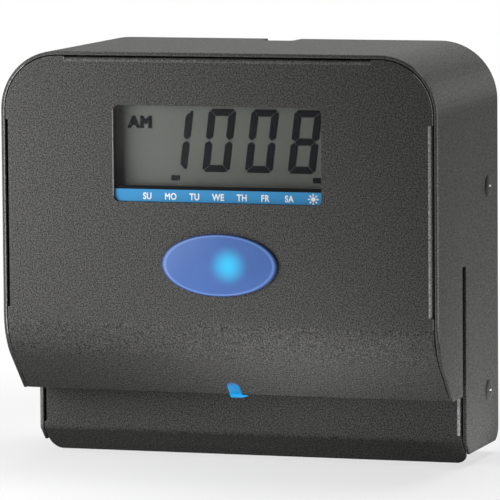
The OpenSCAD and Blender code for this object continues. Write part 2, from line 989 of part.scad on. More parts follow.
module lcd_holder() {
    color("black")
        placed()
            difference() {
                along_y(lens_back, display_front - lens_back)
                    translate([0, window_z])
                        square([holder_w, holder_h], center = true);
                along_y(0, case_d)
                    translate([0, window_z])
                        square([window_w + lcd_lap, window_h + lcd_lap], center = true);
                along_y(lcd_y, case_d)
                    translate([0, window_z])
                        square([lcd_w + 2 * lcd_gap, lcd_h + 2 * lcd_gap], center = true);
                at_studs()
                    bar_y(0, 0, case_d, 0, stud_d + 2 * screw_gap);
            }
}

module contact_strips() {
    color("dimgray")
        placed()
            for (side = [-1, 1])
                along_y(lcd_back, contact_t)
                    translate([0, window_z + side * (lcd_h / 2 - contact_w)])
                        square([window_w, contact_w], center = true);
}

module display_board() {
    color("darkgreen")
        placed()
            difference() {
                union() {
                    along_y(display_front, board_t)
                        translate([0, window_z])
                            square([holder_w, holder_h], center = true);
                    along_y(display_back, plug_t)
                        translate([0, ribbon_display_z])
                            square([plug_w, plug_h], center = true);
                }
                at_studs()
                    bar_y(0, 0, case_d, 0, stud_d + 2 * screw_gap);
            }
}

module display_studs() {
    color("silver")
        placed()
            at_studs()
                bar_y(0, sheet, stud_tip - sheet, 0, stud_d);
}

module display_nuts() {
    color("silver")
        placed()
            at_studs()
                difference() {
                    translate([0, display_back, 0])
                        rotate([-90, 0, 0])
                            cylinder(d = nut_d, h = nut_h, $fn = 6);
                    bar_y(0, 0, case_d, 0, stud_d + 2 * thread_gap);
                }
}

// Ribbon's middle line in (y, z), an arch between the two plugs
ribbon_y0 = display_back + plug_t;
ribbon_y1 = board_front - plug_t;
ribbon_steps = 16;
function ribbon_point(s) = [
    ribbon_y0 + (ribbon_y1 - ribbon_y0) * s,
    ribbon_display_z + (plug_z - ribbon_display_z) * (3 - 2 * s) * s * s + ribbon_rise * pow(sin(180 * s), 2)
];

module display_ribbon() {
    upper = [for (i = [0 : ribbon_steps]) ribbon_point(i / ribbon_steps) + [0, ribbon_t / 2]];
    lower = [for (i = [ribbon_steps : -1 : 0]) ribbon_point(i / ribbon_steps) - [0, ribbon_t / 2]];
    color("gainsboro")
        placed()
            along_x(-ribbon_w / 2, ribbon_w)
                polygon(concat(upper, lower));
}

// Badge: rings of an oval that close in as the dome rises
badge_sides = 48;
badge_rings = 5;
badge_edge = 0.08;
function badge_ring(i) =
    let (a = 90 * i / badge_rings)
    let (s = cos(a) * (1 - badge_edge) + badge_edge * (1 - sin(a)), h = badge_rim_t + badge_dome * sin(a))
    [for (k = [0 : badge_sides - 1])
        let (t = 360 * k / badge_sides)
        [badge_w / 2 * s * cos(t), -h, badge_h / 2 * s * sin(t)]];

module badge() {
    base = [for (k = [0 : badge_sides - 1])
        let (t = 360 * k / badge_sides)
        [badge_w / 2 * cos(t), 0, badge_h / 2 * sin(t)]];
    rings = concat(base, [for (i = [0 : badge_rings - 1]) each badge_ring(i)]);
    peak = len(rings);
    points = concat(rings, [[0, -badge_rim_t - badge_dome, 0], [0, 0, 0]]);
    sides = [for (i = [0 : badge_rings - 1], k = [0 : badge_sides - 1])
        let (a = i * badge_sides + k, b = i * badge_sides + (k + 1) % badge_sides)
        each [[a, b, b + badge_sides], [a, b + badge_sides, a + badge_sides]]];
    caps = [for (k = [0 : badge_sides - 1])
        let (j = (k + 1) % badge_sides, t = badge_rings * badge_sides)
        each [[t + k, t + j, peak], [j, k, peak + 1]]];
    color("steelblue")
        placed()
            translate([badge_x, 0, badge_z])
                polyhedron(points, [for (f = concat(sides, caps)) [f[0], f[2], f[1]]]);
}

module card_pointer() {
    color("royalblue")
        placed()
            on_lip() {
                translate([0, 0, -sheet])
                    linear_extrude(sheet)
                        difference() {
                            pointer_outline(pointer_w - 2 * pointer_gap, pointer_len - pointer_gap);
                            translate([-pointer_w, -2 * eps])
                                square([2 * pointer_w, 2 * eps]);
                        }
                translate([0, 0, -sheet - pointer_flange_t])
                    linear_extrude(pointer_flange_t)
                        translate([-pointer_w / 2 - pointer_lap, pointer_lap])
                            square([pointer_w + 2 * pointer_lap, pointer_len]);
            }
}

module pointer_lamp() {
    back = -sheet - pointer_flange_t;
    color("white")
        placed()
            on_lip()
                translate([0, pointer_lap + pointer_len / 2, 0]) {
                    translate([0, 0, back - lamp_len])
                        cylinder(d = lamp_d, h = lamp_len);
                    translate([0, 0, back - lamp_len - board_t / 2])
                        cube([pointer_w + 2 * pointer_lap, pointer_len, board_t], center = true);
                }
}

// Card chute
module chute_plate() {
    half = flange_x - chute_gap;
    bend = [chute_back - bend_r, lip_z + bend_r];
    color("silver")
        placed()
            difference() {
                along_x(-half, 2 * half) {
                    translate([chute_front, bend[1]])
                        square([sheet, chute_top - bend[1]]);
                    translate([lip_y + sheet / root2 + chute_lip_gap, lip_z])
                        square([bend[0] - lip_y - sheet / root2 - chute_lip_gap, sheet]);
                    translate(bend)
                        bend_quarter();
                }
                along_y(0, case_d)
                    translate([0, platen_z])
                        square([sink_len + head_gap, sink_h + 2 * head_gap], center = true);
                for (side = [-1, 1]) {
                    for (z = [spacer_z, spacer_z + spacer_pitch])
                        bar_y(side * spacer_x, 0, case_d, z, screw_d + 2 * thread_gap);
                    for (z = foot_screw_z())
                        bar_y(side * foot_screw_x, 0, case_d, z, screw_d + 2 * thread_gap);
                }
            }
}

module chute_spacers() {
    color("gold")
        placed()
            for (side = [-1, 1], z = [spacer_z, spacer_z + spacer_pitch])
                difference() {
                    bar_y(side * spacer_x, chute_back, throat_gap, z, spacer_d);
                    bar_y(side * spacer_x, 0, case_d, z, screw_d + 2 * thread_gap);
                }
}

module chute_screws() {
    color("silver")
        placed()
            for (side = [-1, 1], z = [spacer_z, spacer_z + spacer_pitch])
                screw_y(side * spacer_x, chute_front, z, guide_back - chute_front, screw_d);
}

// Print head
function foot_screw_z() = [foot_z0 + head_d / 2 + fine, yoke_top - head_d / 2 - fine];

module head_yoke() {
    color("silver")
        placed() {
            both_sides()
                difference() {
                    union() {
                        block([yoke_x, web_front, yoke_bottom], [yoke_x + sheet, chute_front, yoke_top]);
                        block(
                            [yoke_x, chute_front - sheet, foot_z0],
                            [yoke_x + sheet + foot_w, chute_front, yoke_top]
                        );
                    }
                    bar_x(0, half_w, pivot_y, pivot_z, pivot_d + 2 * thread_gap);
                    for (z = foot_screw_z())
                        bar_y(foot_screw_x, 0, case_d, z, screw_d + 2 * thread_gap);
                }
            block([-yoke_x, web_front, yoke_bottom], [yoke_x, web_back, yoke_bottom + web_h]);
            for (side = [-1, 1])
                bar_y(side * spring_x, web_back, peg_h, platen_z, 2 * peg_r);
        }
}

module yoke_screws() {
    color("silver")
        placed()
            for (side = [-1, 1], z = foot_screw_z())
                screw_y(side * foot_screw_x, chute_front - sheet, z, 2 * sheet, screw_d);
}

module head_pivot() {
    length = yoke_x + sheet + 3 * clip_t;
    color("silver")
        placed()
            bar_x(-length, 2 * length, pivot_y, pivot_z, pivot_d);
}

// A retaining clip ring round a shaft along X
module clip(x0, y, z, d) {
    difference() {
        bar_x(x0, clip_t, y, z, d + 2 * clip_r);
        bar_x(x0 - eps, clip_t + 2 * eps, y, z, d + 2 * fine);
    }
}

module retaining_clips() {
    color("dimgray")
        placed() {
            both_sides()
                clip(yoke_x + sheet + fine, pivot_y, pivot_z, pivot_d);
            clip(-gear_x - gear_w - gear_gap - clip_t, idler_y, idler_z, idler_stud_d);
        }
}

module head_bracket() {
    color("silver")
        placed()
            difference() {
                union() {
                    block(
                        [-bracket_x, bracket_front, bracket_bottom],
                        [bracket_x, bracket_back, pivot_z + lug_r]
                    );
                    both_sides() {
                        block(
                            [bracket_x - sheet, pivot_y, pivot_z - lug_r],
                            [bracket_x, bracket_front, pivot_z + lug_r]
                        );
                        bar_x(bracket_x - sheet, sheet, pivot_y, pivot_z, 2 * lug_r);
                    }
                    for (side = [-1, 1])
                        bar_y(side * spring_x, bracket_front - peg_h, peg_h, platen_z, 2 * peg_r);
                }
                bar_x(-half_w, case_w, pivot_y, pivot_z, pivot_d + 2 * run_fit);
            }
}

module heat_sink() {
    fins = 6;
    fin_pitch = sink_h / fins;
    mid_y = bracket_back + sink_t / 2;
    color("gainsboro")
        placed()
            difference() {
                along_y(bracket_back, sink_t)
                    translate([0, platen_z])
                        square([sink_len, sink_h], center = true);
                for (i = [1 : fins - 1])
                    for (side = [-1, 1])
                        translate([side * sink_len / 2, mid_y, bracket_bottom + i * fin_pitch])
                            cube([2 * sink_over, sink_t + eps, fin_pitch / 2], center = true);
            }
}

module print_head() {
    color("saddlebrown")
        placed() {
            along_y(sink_back, head_t)
                translate([0, platen_z])
                    square([head_len, head_h], center = true);
            along_y(head_back, ridge_h)
                translate([0, platen_z])
                    square([head_len, 2 * ridge_h], center = true);
        }
}

// Helix of a head spring along +Y, swept with a six-sided wire
spring_steps = 10;
wire_sides = 6;
function helix(i, n) =
    let (t = 360 * spring_turns * i / n, run = spring_len - wire_d - 2 * spring_gap)
    [spring_d / 2 * cos(t), spring_gap + wire_d / 2 + run * i / n, spring_d / 2 * sin(t)];

module coil_spring() {
    n = spring_steps * spring_turns;
    points = [for (i = [0 : n], k = [0 : wire_sides - 1])
        let (p = helix(i, n), t = 360 * spring_turns * i / n, a = 360 * k / wire_sides, w = wire_d / 2)
        [p[0] + w * cos(a) * cos(t), p[1] + w * sin(a), p[2] + w * cos(a) * sin(t)]];
    walls = [for (i = [0 : n - 1], k = [0 : wire_sides - 1])
        let (a = i * wire_sides + k, b = i * wire_sides + (k + 1) % wire_sides)
        each [[a, b, b + wire_sides], [a, b + wire_sides, a + wire_sides]]];
    start = [for (k = [wire_sides - 1 : -1 : 0]) k];
    end = [for (k = [0 : wire_sides - 1]) n * wire_sides + k];
    polyhedron(points, concat(walls, [start, end]));
}

module head_springs() {
    color("silver")
        placed()
            for (side = [-1, 1])
                translate([side * spring_x, web_back, platen_z])
                    coil_spring();
}

// Platen drive
function frame_foot_x() = frame_x + sheet + frame_foot_w / 2;

module frame_side() {
    block([frame_x, guide_back, frame_bottom], [frame_x + sheet, frame_back, frame_top]);
    for (z = frame_screw_z)
        difference() {
            block(
                [frame_x, guide_back, z - frame_foot_h / 2],
                [frame_x + sheet + frame_foot_w, guide_back + sheet, z + frame_foot_h / 2]
            );
            bar_y(frame_foot_x(), guide_back - eps, sheet + 2 * eps, z, screw_d + 2 * thread_gap);
        }
}

module mech_frame() {
    color("silver")
        placed()
            difference() {
                union() {
                    both_sides()
                        frame_side();
                    block(
                        [-frame_x, frame_back - 2 * boss_r, frame_top - sheet],
                        [frame_x, frame_back, frame_top]
                    );
                }
                bar_x(-half_w, case_w, platen_y, platen_z, 2 * bush_r + 2 * fine);
                bar_x(-half_w, half_w, idler_y, idler_z, idler_stud_d + 2 * fine);
                bar_x(-half_w, half_w, motor_y, motor_z, 2 * boss_r + 2 * fine);
                at_motor_screws()
                    bar_x(-half_w, half_w, 0, 0, motor_screw_d + 2 * thread_gap);
            }
}

// Turns a shape drawn about the X axis to the line of the motor's two screws
module at_motor() {
    translate([0, motor_y, motor_z])
        rotate([motor_turn, 0, 0])
            children();
}

module at_motor_screws() {
    for (side = [-1, 1])
        at_motor()
            translate([0, side * motor_pitch / 2, 0])
                children();
}

module frame_screws() {
    color("silver")
        placed()
            for (side = [-1, 1], z = frame_screw_z)
                translate([side * frame_foot_x(), guide_back + sheet, z])
                    mirror([0, 1, 0])
                        screw_y(0, 0, 0, 2 * sheet - panel_gap, screw_d);
}

module platen_shaft() {
    left = gear_x + gear_w + clip_t;
    right = frame_x + sheet + bush_flange_t + 4 * clip_t;
    color("silver")
        placed()
            bar_x(-left, left + right, platen_y, platen_z, shaft_d);
}

module platen_roller() {
    color("black")
        placed()
            difference() {
                bar_x(-platen_len / 2, platen_len, platen_y, platen_z, platen_d);
                bar_x(-half_w, case_w, platen_y, platen_z, shaft_d + 2 * fine);
            }
}

// Phase of a follower that meshes with a driver in a given direction
function meshed(direction, phase, driver, follower) =
    direction + 180 - driver / follower * (phase - direction) - 180 / follower;

// One flank point of an involute tooth: half angle at a radius
function involute_angle(rb, r) =
    let (a = acos(min(1, rb / r)))
    tan(a) * 180 / PI - a;
function half_angle(teeth, r) =
    let (rp = gear_module * teeth / 2, rb = rp * cos(pressure))
    90 / teeth - tooth_play / rp / 2 * 180 / PI + involute_angle(rb, rp) - involute_angle(rb, max(r, rb));

module gear_outline(teeth, phase) {
    rp = gear_module * teeth / 2;
    tip = rp + gear_module;
    foot = rp - root_depth * gear_module;
    base = max(foot, rp * cos(pressure));
    flank = [for (i = [0 : flank_steps]) base + (tip - base) * i / flank_steps];
    polygon([for (k = [0 : teeth - 1])
        let (mid = phase + 360 * k / teeth, w = half_angle(teeth, base))
        each concat(
            [foot * [cos(mid - w), sin(mid - w)]],
            [for (r = flank) let (a = mid - half_angle(teeth, r)) r * [cos(a), sin(a)]],
            [for (i = [flank_steps : -1 : 0])
                let (r = flank[i], a = mid + half_angle(teeth, r))
                r * [cos(a), sin(a)]],
            [foot * [cos(mid + w), sin(mid + w)]]
        )]);
}

module spur_gear(teeth, phase, y, z, bore) {
    difference() {
        translate([0, y, z])
            along_x(-gear_x - gear_w, gear_w)
                gear_outline(teeth, phase);
        bar_x(-half_w, half_w, y, z, bore);
    }
}

module platen_gear() {
    color("ivory")
        placed()
            spur_gear(platen_teeth, 0, platen_y, platen_z, shaft_d + 2 * fine);
}

module platen_bushes() {
    color("peru")
        placed()
            both_sides()
                difference() {
                    union() {
                        bar_x(frame_x - bush_inner, sheet + bush_inner, platen_y, platen_z, 2 * bush_r);
                        bar_x(frame_x + sheet, bush_flange_t, platen_y, platen_z, bush_flange_d);
                    }
                    bar_x(0, half_w, platen_y, platen_z, shaft_d + 2 * run_fit);
                }
}

module platen_clips() {
    color("dimgray")
        placed()
            both_sides()
                clip(frame_x + sheet + bush_flange_t + gear_gap, platen_y, platen_z, shaft_d);
}

module idler_gear() {
    color("ivory")
        placed()
            spur_gear(idler_teeth, idler_phase, idler_y, idler_z, idler_stud_d + 2 * run_fit);
}

module idler_stud() {
    tip = gear_x + gear_w + gear_gap + 2 * clip_t;
    shoulder = gear_x - gear_gap;
    color("silver")
        placed() {
            bar_x(-tip, tip - frame_x, idler_y, idler_z, idler_stud_d);
            bar_x(-shoulder, shoulder - frame_x - sheet, idler_y, idler_z, 2 * idler_stud_d);
        }
}

module motor_body() {
    ear_h = 7;
    bore_len = half_w - frame_x + motor_len - sheet;
    color("slategray")
        placed()
            difference() {
                union() {
                    bar_x(-frame_x, motor_len, motor_y, motor_z, motor_d);
                    bar_x(-frame_x - boss_h, boss_h, motor_y, motor_z, 2 * boss_r);
                    at_motor()
                        block(
                            [-frame_x, -motor_pitch / 2, -ear_h / 2],
                            [-frame_x + sheet, motor_pitch / 2, ear_h / 2]
                        );
                    at_motor_screws()
                        bar_x(-frame_x, sheet, 0, 0, ear_h);
                }
                bar_x(-half_w, bore_len, motor_y, motor_z, motor_shaft_d + 2 * run_fit);
                at_motor_screws()
                    bar_x(-half_w, half_w, 0, 0, motor_screw_d + 2 * thread_gap);
            }
}

module motor_shaft() {
    left = gear_x + gear_w;
    color("silver")
        placed()
            bar_x(-left, left - frame_x + motor_len - sheet - gear_gap, motor_y, motor_z, motor_shaft_d);
}

module motor_pinion() {
    color("gold")
        placed()
            spur_gear(pinion_teeth, pinion_phase, motor_y, motor_z, motor_shaft_d + 2 * fine);
}

module motor_screws() {
    color("silver")
        placed()
            at_motor_screws() {
                bar_x(-frame_x - sheet, 2 * sheet, 0, 0, motor_screw_d);
                bar_x(-frame_x - sheet - head_hh, head_hh, 0, 0, head_d);
            }
}

// Card flag
module flag_bracket() {
    long_ear = sensor_y + sensor_len - guide_back;
    base_bottom = flag_slot_z1 + ear_t;
    ear_bottom = flag_z - flag_ear_down;
    ear_top = flag_z + flag_ear_up;
    color("silver")
        placed()
            difference() {
                union() {
                    block(
                        [flag_x - ear_x - ear_t, guide_back, base_bottom],
                        [flag_x + ear_x + ear_t, guide_back + flag_base_t, flag_base_top]
                    );
                    block(
                        [flag_x - ear_x - ear_t, guide_back, ear_bottom],
                        [flag_x - ear_x, guide_back + long_ear, ear_top]
                    );
                    block(
                        [flag_x + ear_x, guide_back, ear_bottom],
                        [flag_x + ear_x + ear_t, flag_y + flag_ear_up, ear_top]
                    );
                    block(
                        [flag_x - ear_x - ear_t, sensor_y, shelf_z - ear_t],
                        [flag_x + ear_x, sensor_y + sensor_len, shelf_z]
                    );
                    block(
                        [flag_x - ear_x - ear_t, sensor_y, shelf_z - ear_t],
                        [flag_x - ear_x, sensor_y + sensor_len, ear_bottom]
                    );
                }
                bar_x(-half_w, case_w, flag_y, flag_z, flag_pin_d + 2 * fine);
            }
}

module flag_pin() {
    half = ear_x + ear_t + flag_pin_over;
    color("silver")
        placed()
            bar_x(flag_x - half, 2 * half, flag_y, flag_z, flag_pin_d);
}

module card_flag() {
    tip = 2;
    knee = 1;
    neck = 3.5;
    color("black")
        placed()
            difference() {
                union() {
                    bar_x(flag_x - flag_hub_len / 2, flag_hub_len, flag_y, flag_z, flag_hub_d);
                    along_x(flag_x - flag_t / 2, flag_t)
                        translate([flag_y, flag_z]) {
                            polygon([
                                [-tip, 0],
                                [tip, 0],
                                [tip - knee, -finger_drop + neck],
                                [-finger_reach + tip, -finger_drop - tip / 2],
                                [-finger_reach, -finger_drop],
                                [-neck, -finger_drop + 2 * neck]
                            ]);
                            translate([0, -knee])
                                square([blade_len, blade_h]);
                        }
                }
                bar_x(-half_w, case_w, flag_y, flag_z, flag_pin_d + 2 * run_fit);
            }
}

module flag_sensor() {
    width = 2 * ear_x - 2 * fine;
    color("dimgray")
        placed()
            difference() {
                block(
                    [flag_x - width / 2, sensor_y, shelf_z],
                    [flag_x + width / 2, sensor_y + sensor_len, shelf_z + sensor_h]
                );
                block(
                    [flag_x - flag_slot_w / 2, 0, shelf_z + sensor_h - sensor_slot_h],
                    [flag_x + flag_slot_w / 2, case_d, case_h]
                );
            }
}

// Electronics
module at_standoffs() {
    for (side = [-1, 1], z = [board_z + standoff_in, board_top - standoff_in])
        translate([side * standoff_x, 0, z])
            children();
}

module main_board() {
    color("darkgreen")
        placed()
            difference() {
                block([-board_w / 2, board_front, board_z], [board_w / 2, board_back, board_top]);
                at_standoffs()
                    bar_y(0, 0, case_d, 0, screw_d + 2 * thread_gap);
            }
}

module board_standoffs() {
    color("gold")
        placed()
            at_standoffs()
                difference() {
                    translate([0, board_back, 0])
                        rotate([-90, 0, 0])
                            cylinder(d = standoff_af / cos(30), h = standoff_len, $fn = 6);
                    bar_y(0, 0, case_d, 0, screw_d + 2 * thread_gap);
                }
}

module board_screws() {
    color("silver")
        placed()
            at_standoffs()
                screw_y(0, board_front, 0, case_d - board_front - panel_gap, screw_d);
}

// A box of a given size standing on the main board's front
module on_board(x, z, size) {
    block(
        [x - size[0] / 2, board_front - size[1], z - size[2] / 2],
        [x + size[0] / 2, board_front, z + size[2] / 2]
    );
}

module board_parts() {
    color("dimgray")
        placed() {
            on_board(chip_x, chip_z, [chip_w, chip_t, chip_w]);
            on_board(driver_x, driver_z, driver_size);
            on_board(0, plug_z, [plug_w, plug_t, plug_h]);
            for (x = can_x)
                bar_y(x, board_front - can_len, can_len, can_z, can_d);
        }
}

module cell_holder() {
    outer = cell_d + 2 * cell_wall;
    depth = cell_t + cell_wall;
    color("black")
        placed()
            difference() {
                bar_y(cell_x, board_front - depth, depth, cell_z, outer);
                bar_y(cell_x, board_front - depth - eps, cell_t + eps, cell_z, cell_d + 2 * cell_gap);
            }
}

module coin_cell() {
    color("silver")
        placed()
            bar_y(cell_x, board_front - cell_t - cell_wall, cell_t, cell_z, cell_d);
}

module buzzer() {
    color("black")
        placed()
            difference() {
                bar_y(buzzer_x, board_front - buzzer_h, buzzer_h, buzzer_z, buzzer_d);
                bar_y(buzzer_x, board_front - buzzer_h - eps, eps + buzzer_port, buzzer_z, buzzer_port);
            }
}

module power_jack() {
    mid_y = board_front - jack_size[1] / 2;
    color("black")
        placed() {
            difference() {
                on_board(jack_x, jack_z, jack_size);
                bar_x(jack_x - jack_size[0] / 2 - eps, jack_depth + eps, mid_y, jack_z, jack_bore_d);
            }
            bar_x(jack_x - jack_size[0] / 2, jack_depth + eps, mid_y, jack_z, jack_pin_d);
        }
}

module setting_switches() {
    color("black")
        placed()
            for (i = [0 : 2])
                difference() {
                    on_board(button_x0 + i * button_pitch, button_z, [switch_w, switch_h, switch_w]);
                    bar_y(button_x0 + i * button_pitch, 0, board_front - switch_floor, button_z,
                        plunger_d + 2 * button_gap);
                }
}

module set_button(i) {
    x = button_x0 + i * button_pitch;
    seat = board_front - switch_floor - button_travel - button_gap;
    color("tomato")
        placed() {
            bar_y(x, seat - plunger_len, plunger_len, button_z, plunger_d);
            bar_y(x, seat - plunger_len, cap_t, button_z, cap_d);
        }
}

module set_button_1() set_button(0);
module set_button_2() set_button(1);
module set_button_3() set_button(2);

case_wrap();
front_panel();
guide_plate();
back_plate();
case_screws();
clinch_nuts();
chassis_screws();
window_lens();
day_strip();
lcd_glass();
lcd_holder();
contact_strips();
display_board();
display_studs();
display_nuts();
badge();
card_pointer();
pointer_lamp();
chute_plate();
chute_spacers();
chute_screws();
head_yoke();
yoke_screws();
head_pivot();
retaining_clips();
head_bracket();
heat_sink();
print_head();
head_springs();
mech_frame();
frame_screws();
platen_shaft();
platen_roller();
platen_gear();
platen_bushes();
platen_clips();
idler_gear();
idler_stud();
motor_body();
motor_shaft();
motor_pinion();
motor_screws();
flag_bracket();
flag_pin();
card_flag();
flag_sensor();
main_board();
board_standoffs();
board_screws();
board_parts();
cell_holder();
coin_cell();
buzzer();
power_jack();
setting_switches();
set_button_1();
set_button_2();
set_button_3();
display_ribbon();
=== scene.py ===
"""Finishes a packed wall time clock: painted case, display, badge, mechanism and a plain studio stage."""

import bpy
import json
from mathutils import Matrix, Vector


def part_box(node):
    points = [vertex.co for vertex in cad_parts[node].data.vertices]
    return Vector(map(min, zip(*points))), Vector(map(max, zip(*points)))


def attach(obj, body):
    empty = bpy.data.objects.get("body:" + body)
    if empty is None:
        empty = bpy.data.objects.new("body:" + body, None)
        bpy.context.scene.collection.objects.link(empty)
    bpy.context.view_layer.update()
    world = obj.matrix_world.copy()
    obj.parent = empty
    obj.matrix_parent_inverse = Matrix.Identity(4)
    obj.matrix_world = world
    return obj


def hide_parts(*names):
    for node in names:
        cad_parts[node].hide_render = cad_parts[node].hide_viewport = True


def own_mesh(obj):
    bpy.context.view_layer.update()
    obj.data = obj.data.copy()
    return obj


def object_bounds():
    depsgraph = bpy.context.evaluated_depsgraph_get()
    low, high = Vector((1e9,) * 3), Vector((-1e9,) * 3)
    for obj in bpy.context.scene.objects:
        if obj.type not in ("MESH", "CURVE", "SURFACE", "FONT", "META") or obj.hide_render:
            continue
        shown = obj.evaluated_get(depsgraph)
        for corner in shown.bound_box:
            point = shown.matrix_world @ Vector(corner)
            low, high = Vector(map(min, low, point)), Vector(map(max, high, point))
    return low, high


bl_info = {
    "name": "Wall Time Clock",
    "version": (1, 0, 0),
    "blender": (4, 5, 0),
    "location": "3D View > Sidebar > Time Clock",
    "description": "Paints the case, draws the display and finishes the mechanism of a wall time clock",
    "category": "Object",
}

import json
import math
from functools import partial

import bmesh
import bpy
from bpy.props import FloatProperty, FloatVectorProperty, PointerProperty, StringProperty
from bpy.types import Operator, Panel, PropertyGroup
from mathutils import Matrix, Vector

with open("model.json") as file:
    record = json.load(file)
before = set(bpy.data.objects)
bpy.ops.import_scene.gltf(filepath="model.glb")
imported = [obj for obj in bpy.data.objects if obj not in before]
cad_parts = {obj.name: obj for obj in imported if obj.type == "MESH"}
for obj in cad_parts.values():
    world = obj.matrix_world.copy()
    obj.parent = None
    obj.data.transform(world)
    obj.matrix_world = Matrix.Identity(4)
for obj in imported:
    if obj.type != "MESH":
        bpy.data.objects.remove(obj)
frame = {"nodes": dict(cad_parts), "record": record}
CAD_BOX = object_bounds()

SLOT_OF = {part["node"]: part["material_slot"] for part in frame["record"]["subparts"]}
BODY_OF = {
    node: body
    for body, nodes in frame["record"]["behaviour"]["bodies"].items() for node in nodes
}
DAYS = ("SU", "MO", "TU", "WE", "TH", "FR", "SA")
SEGMENTS_OF = {
    "0": "abcdef", "1": "bc", "2": "abdeg", "3": "abcdg", "4": "bcfg",
    "5": "acdfg", "6": "acdefg", "7": "abc", "8": "abcdefg", "9": "abcdfg", " ": "",
}

# Shares of painted highlight on the coat, from 0 for none to 1 for pale, glossy grains, standing for the
# light that the front's bends and edges catch. RUB_EDGE is plain wear on every rounded edge, and TOP_BEND_END
# is the slope where the painted highlight on the top bends ends
RUB_EDGE = 0.05
TOP_BEND_HIGHLIGHT = 0.11
TOP_ROLL_HIGHLIGHT = 0.18
LEFT_WALL_HIGHLIGHT = 0.3
FRONT_EDGE_HIGHLIGHT = 0.65
FRONT_BEND_HIGHLIGHT = 1.0
TOP_BEND_END = 0.6

# Angles that part smooth from sharp, square from bent and flat from faceted
SMOOTH_BELOW = math.radians(38)
SQUARE_ABOVE = math.radians(58)
FLAT_BELOW = math.radians(0.4)

# Shares of a screw head's rise and radius, from its rim to its middle
SCREW_DOME = ((0.3, 1.0), (0.52, 0.95), (0.72, 0.84), (0.88, 0.66), (0.97, 0.42), (1.0, 0.20), (1.0, 0.0))

# Name, place, aim and size of each light
LIGHTS = (
    ("key", (-0.18, -0.255, 0.035), (-0.06, -0.09, 0.0), 0.24),
    ("top", (0.06, 0.14, 0.55), (0.02, -0.05, 0.08), 0.50),
    ("low", (0.172, -0.03, -0.0845), (0.172, -0.03, 0.0), 0.15),
    ("card", (0.03, -0.152, -0.0845), (0.03, -0.152, 0.0), 0.12),
    ("side", (0.40, -0.09, 0.17), (0.090, -0.06, 0.05), 0.25),
)

# The photograph's viewpoint
CAMERA_PLACE = (0.61911, -1.99917, 0.21696)
CAMERA_YAW = math.radians(17.619)
CAMERA_RISE = math.radians(6.019)
CAMERA_ROLL = math.radians(-0.456)
CAMERA_LENS = 361.02
CAMERA_SENSOR = 36.0


# Settings

def colour(name, description, default):
    return FloatVectorProperty(
        name=name, description=description, default=default, size=3, min=0.0, max=1.0, subtype="COLOR")


def length(name, description, default):
    return FloatProperty(
        name=name, description=description, default=default, min=0.0, unit="LENGTH", precision=5)


def power(name, description, default):
    return FloatProperty(name=name, description=description, default=default, min=0.0, unit="POWER")


class TimeClockPaint(PropertyGroup):
    """Powder coat of the case"""
    dark: colour("Hollows", "Colour of the coat between its grains", (0.030, 0.030, 0.0295))
    light: colour("Grains", "Colour of the coat's grains", (0.165, 0.163, 0.158))
    # Pale grains painted on the front's bends and edges as a highlight, and on other edges as wear
    highlight_grains: colour(
        "Painted highlight grains", "Colour of the coat's grains on edges and tight bends", (0.85, 0.85, 0.83))
    grain: length("Grain size", "Distance between two grains of the coat", 0.00056)
    depth: length("Grain depth", "Height of a grain", 0.000065)
    edge: length("Edge radius", "Radius of the coated sheet's edges", 0.0004)


class TimeClockDisplay(PropertyGroup):
    """Reading and print of the display"""
    reading: StringProperty(
        name="Reading", description="Digits that the display shows", default="1008", maxlen=4)
    half_day: StringProperty(
        name="Half day", description="Mark at the display's upper left", default="AM", maxlen=2)
    digit_height: length("Digit height", "Height of a digit", 0.0255)
    digit_width: length("Digit width", "Width of a digit", 0.0113)
    digit_pitch: length("Digit pitch", "Distance between two digits", 0.01804)
    stroke: length("Stroke", "Width of a segment", 0.0028)
    gap: length("Gap", "Gap between two segments", 0.0003)
    slant: FloatProperty(
        name="Slant", description="Lean of the digits", default=math.radians(7.3), subtype="ANGLE")
    glass: colour("Glass", "Colour of the display's ground", (0.155, 0.165, 0.148))
    ink: colour("Segments", "Colour of a dark segment", (0.012, 0.012, 0.015))
    strip: colour("Day strip", "Colour of the printed strip", (0.050, 0.290, 0.590))


class TimeClockBadge(PropertyGroup):
    """Domed oval on the front"""
    edge: colour("Ground", "Colour of the oval's ground", (0.074, 0.148, 0.40))
    glow: colour("Glow", "Colour of the glow on the oval", (0.06, 0.60, 1.0))
    # Colour of the painted highlight on the rim's rounding
    rim: colour("Rim", "Colour of the oval's rim", (0.15, 0.26, 0.60))
    spread: length("Glow radius", "Radius of the glow", 0.0090)
    shift: length("Glow shift", "Distance of the glow from the oval's middle", 0.0040)


class TimeClockStage(PropertyGroup):
    """Light round the clock"""
    key: power("Key", "Power of the softbox at the left", 0.76)
    top: power("Top", "Power of the softbox overhead", 2.9)
    low: power("Low", "Power of the bounce card beside the right wall", 0.175)
    card: power("Card", "Power of the bounce card before the lip", 0.11)
    side: power("Side", "Power of the softbox at the right", 0.07)
    ambient: FloatProperty(
        name="Ambient", description="Strength of the light from all round", default=0.03, min=0.0,
        subtype="FACTOR")


class TimeClockSettings(PropertyGroup):
    """Sizes and colours of the time clock"""
    paint: PointerProperty(type=TimeClockPaint)
    display: PointerProperty(type=TimeClockDisplay)
    badge: PointerProperty(type=TimeClockBadge)
    stage: PointerProperty(type=TimeClockStage)


def settings():
    return bpy.context.scene.time_clock


# Node groups and materials

def stretch(tree, value, low, high):
    """A mask that goes from 0 to 1 as a value goes from one level to another."""
    span = tree.nodes.new("ShaderNodeMapRange")
    span.inputs["From Min"].default_value = low
    span.inputs["From Max"].default_value = high
    tree.links.new(value, span.inputs["Value"])
    return span.outputs["Result"]


def spread(tree, mask, low, high):
    """A value that goes from one level to another as a mask goes from 0 to 1."""
    span = tree.nodes.new("ShaderNodeMapRange")
    span.inputs["To Min"].default_value = low
    span.inputs["To Max"].default_value = high
    tree.links.new(mask, span.inputs["Value"])
    return span.outputs["Result"]


def vector_length(tree, vector):
    node = tree.nodes.new("ShaderNodeVectorMath")
    node.operation = "LENGTH"
    tree.links.new(vector, node.inputs[0])
    return node.outputs["Value"]


